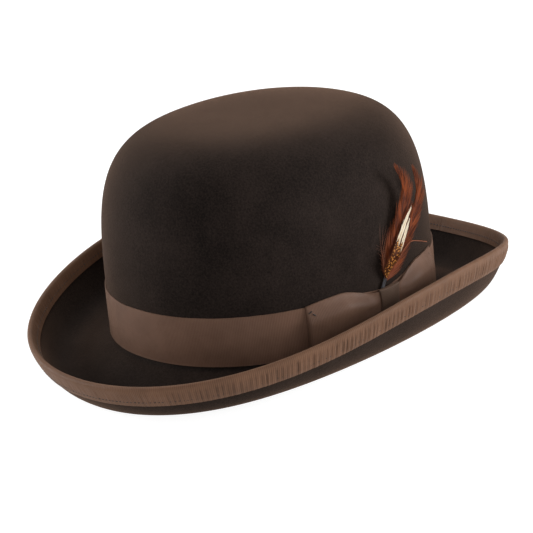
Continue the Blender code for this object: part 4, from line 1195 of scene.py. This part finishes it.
def makeQuills():
    # The bare quills, bound together, that go down behind the knot.
    size = quillSizes
    rods = []
    for across, out, top in size["rods"]:
        spot = np.linspace(size["foot"], top, 12)
        spread = 0.6 + 0.4 * (spot - size["foot"]) / bunchSizes["spread"]
        path, _ = bunchPlace(across * spread, spot, np.full(12, out - size["inward"]))
        rods.append(rodPiece("quill" + str(len(rods)), path, size["radius"], 10, closed=False))
    attach(dress(joinPieces("boundQuills", rods), "quill"), "feather", "feather_stem")
    stray = smoothLine(straySizes["line"], 40)
    path, _ = bunchPlace(stray[:, 0], stray[:, 1], np.full(40, straySizes["out"]))
    strand = dress(rodPiece("strayBarb", path, straySizes["radius"], 6, closed=False), "wisp")
    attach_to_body(strand, "feather")


for featherName, featherFacts in feathers.items():
    makeFeather(featherName, featherFacts)
makeQuills()
print("feathers made")

liningSizes = {
    "foot": 0.0050, "gap": 0.0003, "satin": 0.0003, "joint": 2.605, "jointGap": 0.008, "piping": 0.0006,
    "pleats": {"Spacing": 0.0125, "Depth": 0.0012, "Unevenness": 0.35, "Sharpness": 1.6, "Seed": 21.0},
    "sideFlat": (0.125, 0.58), "tipFlat": (0.120, 0.140), "tipArea": 0.0132,
}
reedSizes = {"radius": 0.0007, "gap": 0.0003, "tape": 0.0003}
backSeam = math.pi / 2.0


def makeSweatband():
    size = sweatbandSizes
    angles = stripRound(backSeam, 360)
    heights = np.linspace(size["foot"], size["top"], 22)
    roll = size["roll"] * np.exp(-((heights - size["top"]) / 0.0015) ** 2)  # the top edge turns in a little
    near = wallAt(angles[:, None], heights, -size["inset"] - roll)
    wave = size["wave"] * np.sin(angles * 9.0 + 0.5)[:, None] * np.linspace(0.2, 1.0, 22)
    far = wallAt(angles[:, None], heights, -size["inset"] - size["leather"] - roll - np.maximum(wave, 0.0))
    piece = dress(skinPiece("sweatbandLeather", near, far), "leather")
    attach(piece, "hat", "sweatband")
    ring = np.linspace(0.0, 2.0 * math.pi, 400, endpoint=False)
    spare = size["inset"] + size["leather"]
    path = wallAt(ring, size["foot"] / 2.0, -spare)
    _, _, outX, outY = ovalFoot(np, hatShape, ring)
    away = -np.stack([outX, outY, np.zeros_like(outX)], -1)
    stitches = stitchPiece("sweatbandStitches", [(path, away)], "paleThread", size["stitches"])
    attach(stitches, "hat", "sweatband_thread")
    zigzag = size["zigzag"]
    turns = np.arange(0.0, zigzag["turns"], 0.125)
    swing = zigzag["half"] * (np.abs((turns % 2.0) - 1.0) * 2.0 - 1.0)
    path = wallAt(angleAlong(backSeam, swing), zigzag["foot"] + zigzag["rise"] * turns / 11.0,
                  -(spare + zigzag["out"]))
    seamThread = rodPiece("sweatbandSeamThread", path, zigzag["radius"], 8, closed=False)
    attach(dress(seamThread, "paleThread"), "hat", "sweatband_seam_thread")


def reedPlace(angles):
    # The reed lies in the rounded inner corner, between the felt and the sweatband.
    covered = reedSizes["radius"] + reedSizes["gap"] + reedSizes["tape"]
    depth = hatShape["felt"] + 0.0003 + covered
    inset = sweatbandSizes["inset"] - 0.0003 - covered
    footX, footY, outX, outY = ovalFoot(np, hatShape, angles)
    rows = np.linspace(1.0, 2.2, 49)
    spots = feltAt(angles[:, None], rows[None, :], np.full((len(angles), 49), depth))
    insets = (footX[:, None] - spots[..., 0]) * outX[:, None]
    insets = insets + (footY[:, None] - spots[..., 1]) * outY[:, None]
    levels = [np.interp(inset, line, level) for line, level in zip(insets, spots[..., 2])]
    return np.stack([footX - outX * inset, footY - outY * inset, levels], -1), outX, outY


def makeReed():
    angles = stripRound(backSeam, 300)
    middle, outX, outY = reedPlace(angles)
    reed = dress(rodPiece("caneReed", middle, reedSizes["radius"], 10, closed=False), "reed")
    attach(reed, "hat", "sweatband_reed")
    leans = np.radians(np.linspace(-150.0, 150.0, 15))
    skins = []
    for radius in (reedSizes["radius"] + 0.00025, reedSizes["radius"] + 0.00025 + reedSizes["tape"]):
        level = np.stack([outX[:, None] * np.cos(leans), outY[:, None] * np.cos(leans),
                          np.broadcast_to(np.sin(leans), (len(angles), 15))], -1)
        skins.append(middle[:, None, :] + radius * level)
    tape = dress(skinPiece("reedTape", *skins), "tape")
    attach(tape, "hat", "sweatband_reed_tape")


def makeLining():
    # Satin side lining, lightly pleated, sewn to a smooth oval tip with piping between.
    size = liningSizes
    depth = hatShape["felt"] + size["gap"]
    angles = stripRound(backSeam, 560)
    foot = float(rowAtHeight(size["foot"]))
    rows = np.linspace(foot, size["joint"] - size["jointGap"], 40)
    near = feltAt(angles[:, None], rows[None, :], np.full((560, 40), depth))
    far = feltAt(angles[:, None], rows[None, :], np.full((560, 40), depth + size["satin"]))
    push = (far - near) / size["satin"]
    along = np.concatenate([[0.0], np.cumsum(np.linalg.norm(np.diff(far[:, 0], axis=0), axis=-1))])
    share = np.linspace(0.0, 1.0, 40)
    fade = ease((share - 0.34) / 0.25) * (1.0 - 0.35 * ease((share - 0.85) / 0.15))
    side = skinPiece("liningSide", near, far)
    spread = np.tile(np.broadcast_to(fade, (560, 40)).ravel(), 2)
    markPoints(side, along=np.tile(np.repeat(along, 40), 2), fade=spread,
               push=np.tile(push.reshape(-1, 3), (2, 1)))
    side = finishTree("liningSide", side, gatherTree, {**size["pleats"], "Cloth": finishes["satin"]})
    attach(dress(side, "satin"), "hat", "lining_side")
    ring = np.linspace(0.0, 2.0 * math.pi, 300, endpoint=False)
    joint = feltAt(ring, np.full(300, size["joint"]), np.full(300, depth + size["piping"]))
    piping = dress(rodPiece("liningPiping", joint, size["piping"], 10), "piping")
    attach(piping, "hat", "lining_piping")
    rows = np.concatenate([np.linspace(size["joint"] + size["jointGap"], 2.999, 24), [3.0]])
    levels = (depth, depth + size["satin"])
    skins = [feltAt(ring[:, None], rows[None, :], np.full((300, 25), level)) for level in levels]
    for skin, level in zip(skins, levels):
        skin[:, -1] = (0.0, 0.0, hatShape["height"] + hatShape["lift"] - level)
    tip = faceOutward(skinPiece("liningTip", *skins, closed=True), merge=1e-6)
    attach(dress(tip, "satin"), "hat", "lining_tip")


def makeSmallBow():
    makeLoop("smallBowLeft", "sweatband_bow_left", smallBowSizes, insidePlace, -1.0, "smallBow")
    makeLoop("smallBowRight", "sweatband_bow_right", smallBowSizes, insidePlace, 1.0, "smallBow")
    makeKnot("smallBowKnot", "sweatband_bow_knot", smallBowSizes, insidePlace, "smallBow")


makeSweatband()
makeReed()
makeLining()
makeSmallBow()
print("inside made")

studio = {
    "azimuth": 47.753, "elevation": 19.494, "roll": -5.711, "distance": 1.21045,
    "aim": (0.01364, -0.01578, 0.04784), "lens": 139.28, "sensor": 36.0, "floorHalf": 6, "ambient": 0.08,
    "floor": 0.30, "floorGlow": 0.45, "backdropGlow": 0.92, "lampAim": (0.0, 0.0, 0.06),
}
# Each lamp: how far to the camera's right, towards the camera, and up; its width and power.
lamps = {
    "leftLamp": (-1.6, -0.45, 0.40, 1.2, 25.0),
    "rightLamp": (1.6, 0.25, 0.50, 0.8, 26.0),
    "topLamp": (-0.1, -0.95, 1.8, 1.6, 21.0),
    "frontLamp": (0.15, 1.85, 0.55, 1.4, 14.0),
}


def makeStudio():
    scene = bpy.context.scene
    turn, up = math.radians(studio["azimuth"]), math.radians(studio["elevation"])
    back = Vector((math.sin(turn) * math.cos(up), -math.cos(turn) * math.cos(up), math.sin(up)))
    camera = bpy.data.objects.new("studioCamera", bpy.data.cameras.new("studioCamera"))
    scene.collection.objects.link(camera)
    camera.location = Vector(studio["aim"]) + back * studio["distance"]
    camera.rotation_mode = "QUATERNION"
    roll = Matrix.Rotation(math.radians(studio["roll"]), 4, back)
    camera.rotation_quaternion = roll.to_quaternion() @ (-back).to_track_quat("-Z", "Y")
    camera.data.lens = studio["lens"]
    camera.data.sensor_width = studio["sensor"]
    scene.camera = camera
    half = studio["floorHalf"]
    corners = [(-half, -half, 0), (half, -half, 0), (half, half, 0), (-half, half, 0)]
    floor = plainObject("studioFloor", corners, [(0, 1, 2, 3)])
    material, tree, shader = nodeMaterial("paleFloor", (studio["floor"],) * 3, Roughness=0.9)
    shader.inputs["Emission Color"].default_value = (1.0, 1.0, 1.0, 1.0)
    seen = nodeValue(tree, addNode(tree, "ShaderNodeLightPath").outputs["Is Camera Ray"])
    # The floor looks white to the camera and lights the hat less.
    glow = seen * (studio["backdropGlow"] - studio["floorGlow"]) + studio["floorGlow"]
    feed(tree, glow, shader.inputs["Emission Strength"])
    floor.data.materials.append(material)
    world = bpy.data.worlds.new("studioLight")
    world.use_nodes = True
    world.node_tree.nodes["Background"].inputs[0].default_value = (1.0, 1.0, 1.0, 1.0)
    world.node_tree.nodes["Background"].inputs[1].default_value = studio["ambient"]
    scene.world = world
    scene.view_settings.view_transform = "Standard"
    right = Vector((math.cos(turn), math.sin(turn), 0.0))
    toward = Vector((math.sin(turn), -math.cos(turn), 0.0))
    for name, (sideways, nearer, height, width, power) in lamps.items():
        lamp = bpy.data.objects.new(name, bpy.data.lights.new(name, "AREA"))
        lamp.data.size = width
        lamp.data.energy = power
        lamp.location = right * sideways + toward * nearer + Vector((0.0, 0.0, height))
        aim = Vector(studio["lampAim"]) - lamp.location
        lamp.rotation_mode = "QUATERNION"
        lamp.rotation_quaternion = aim.to_track_quat("-Z", "Y")
        scene.collection.objects.link(lamp)


makeStudio()
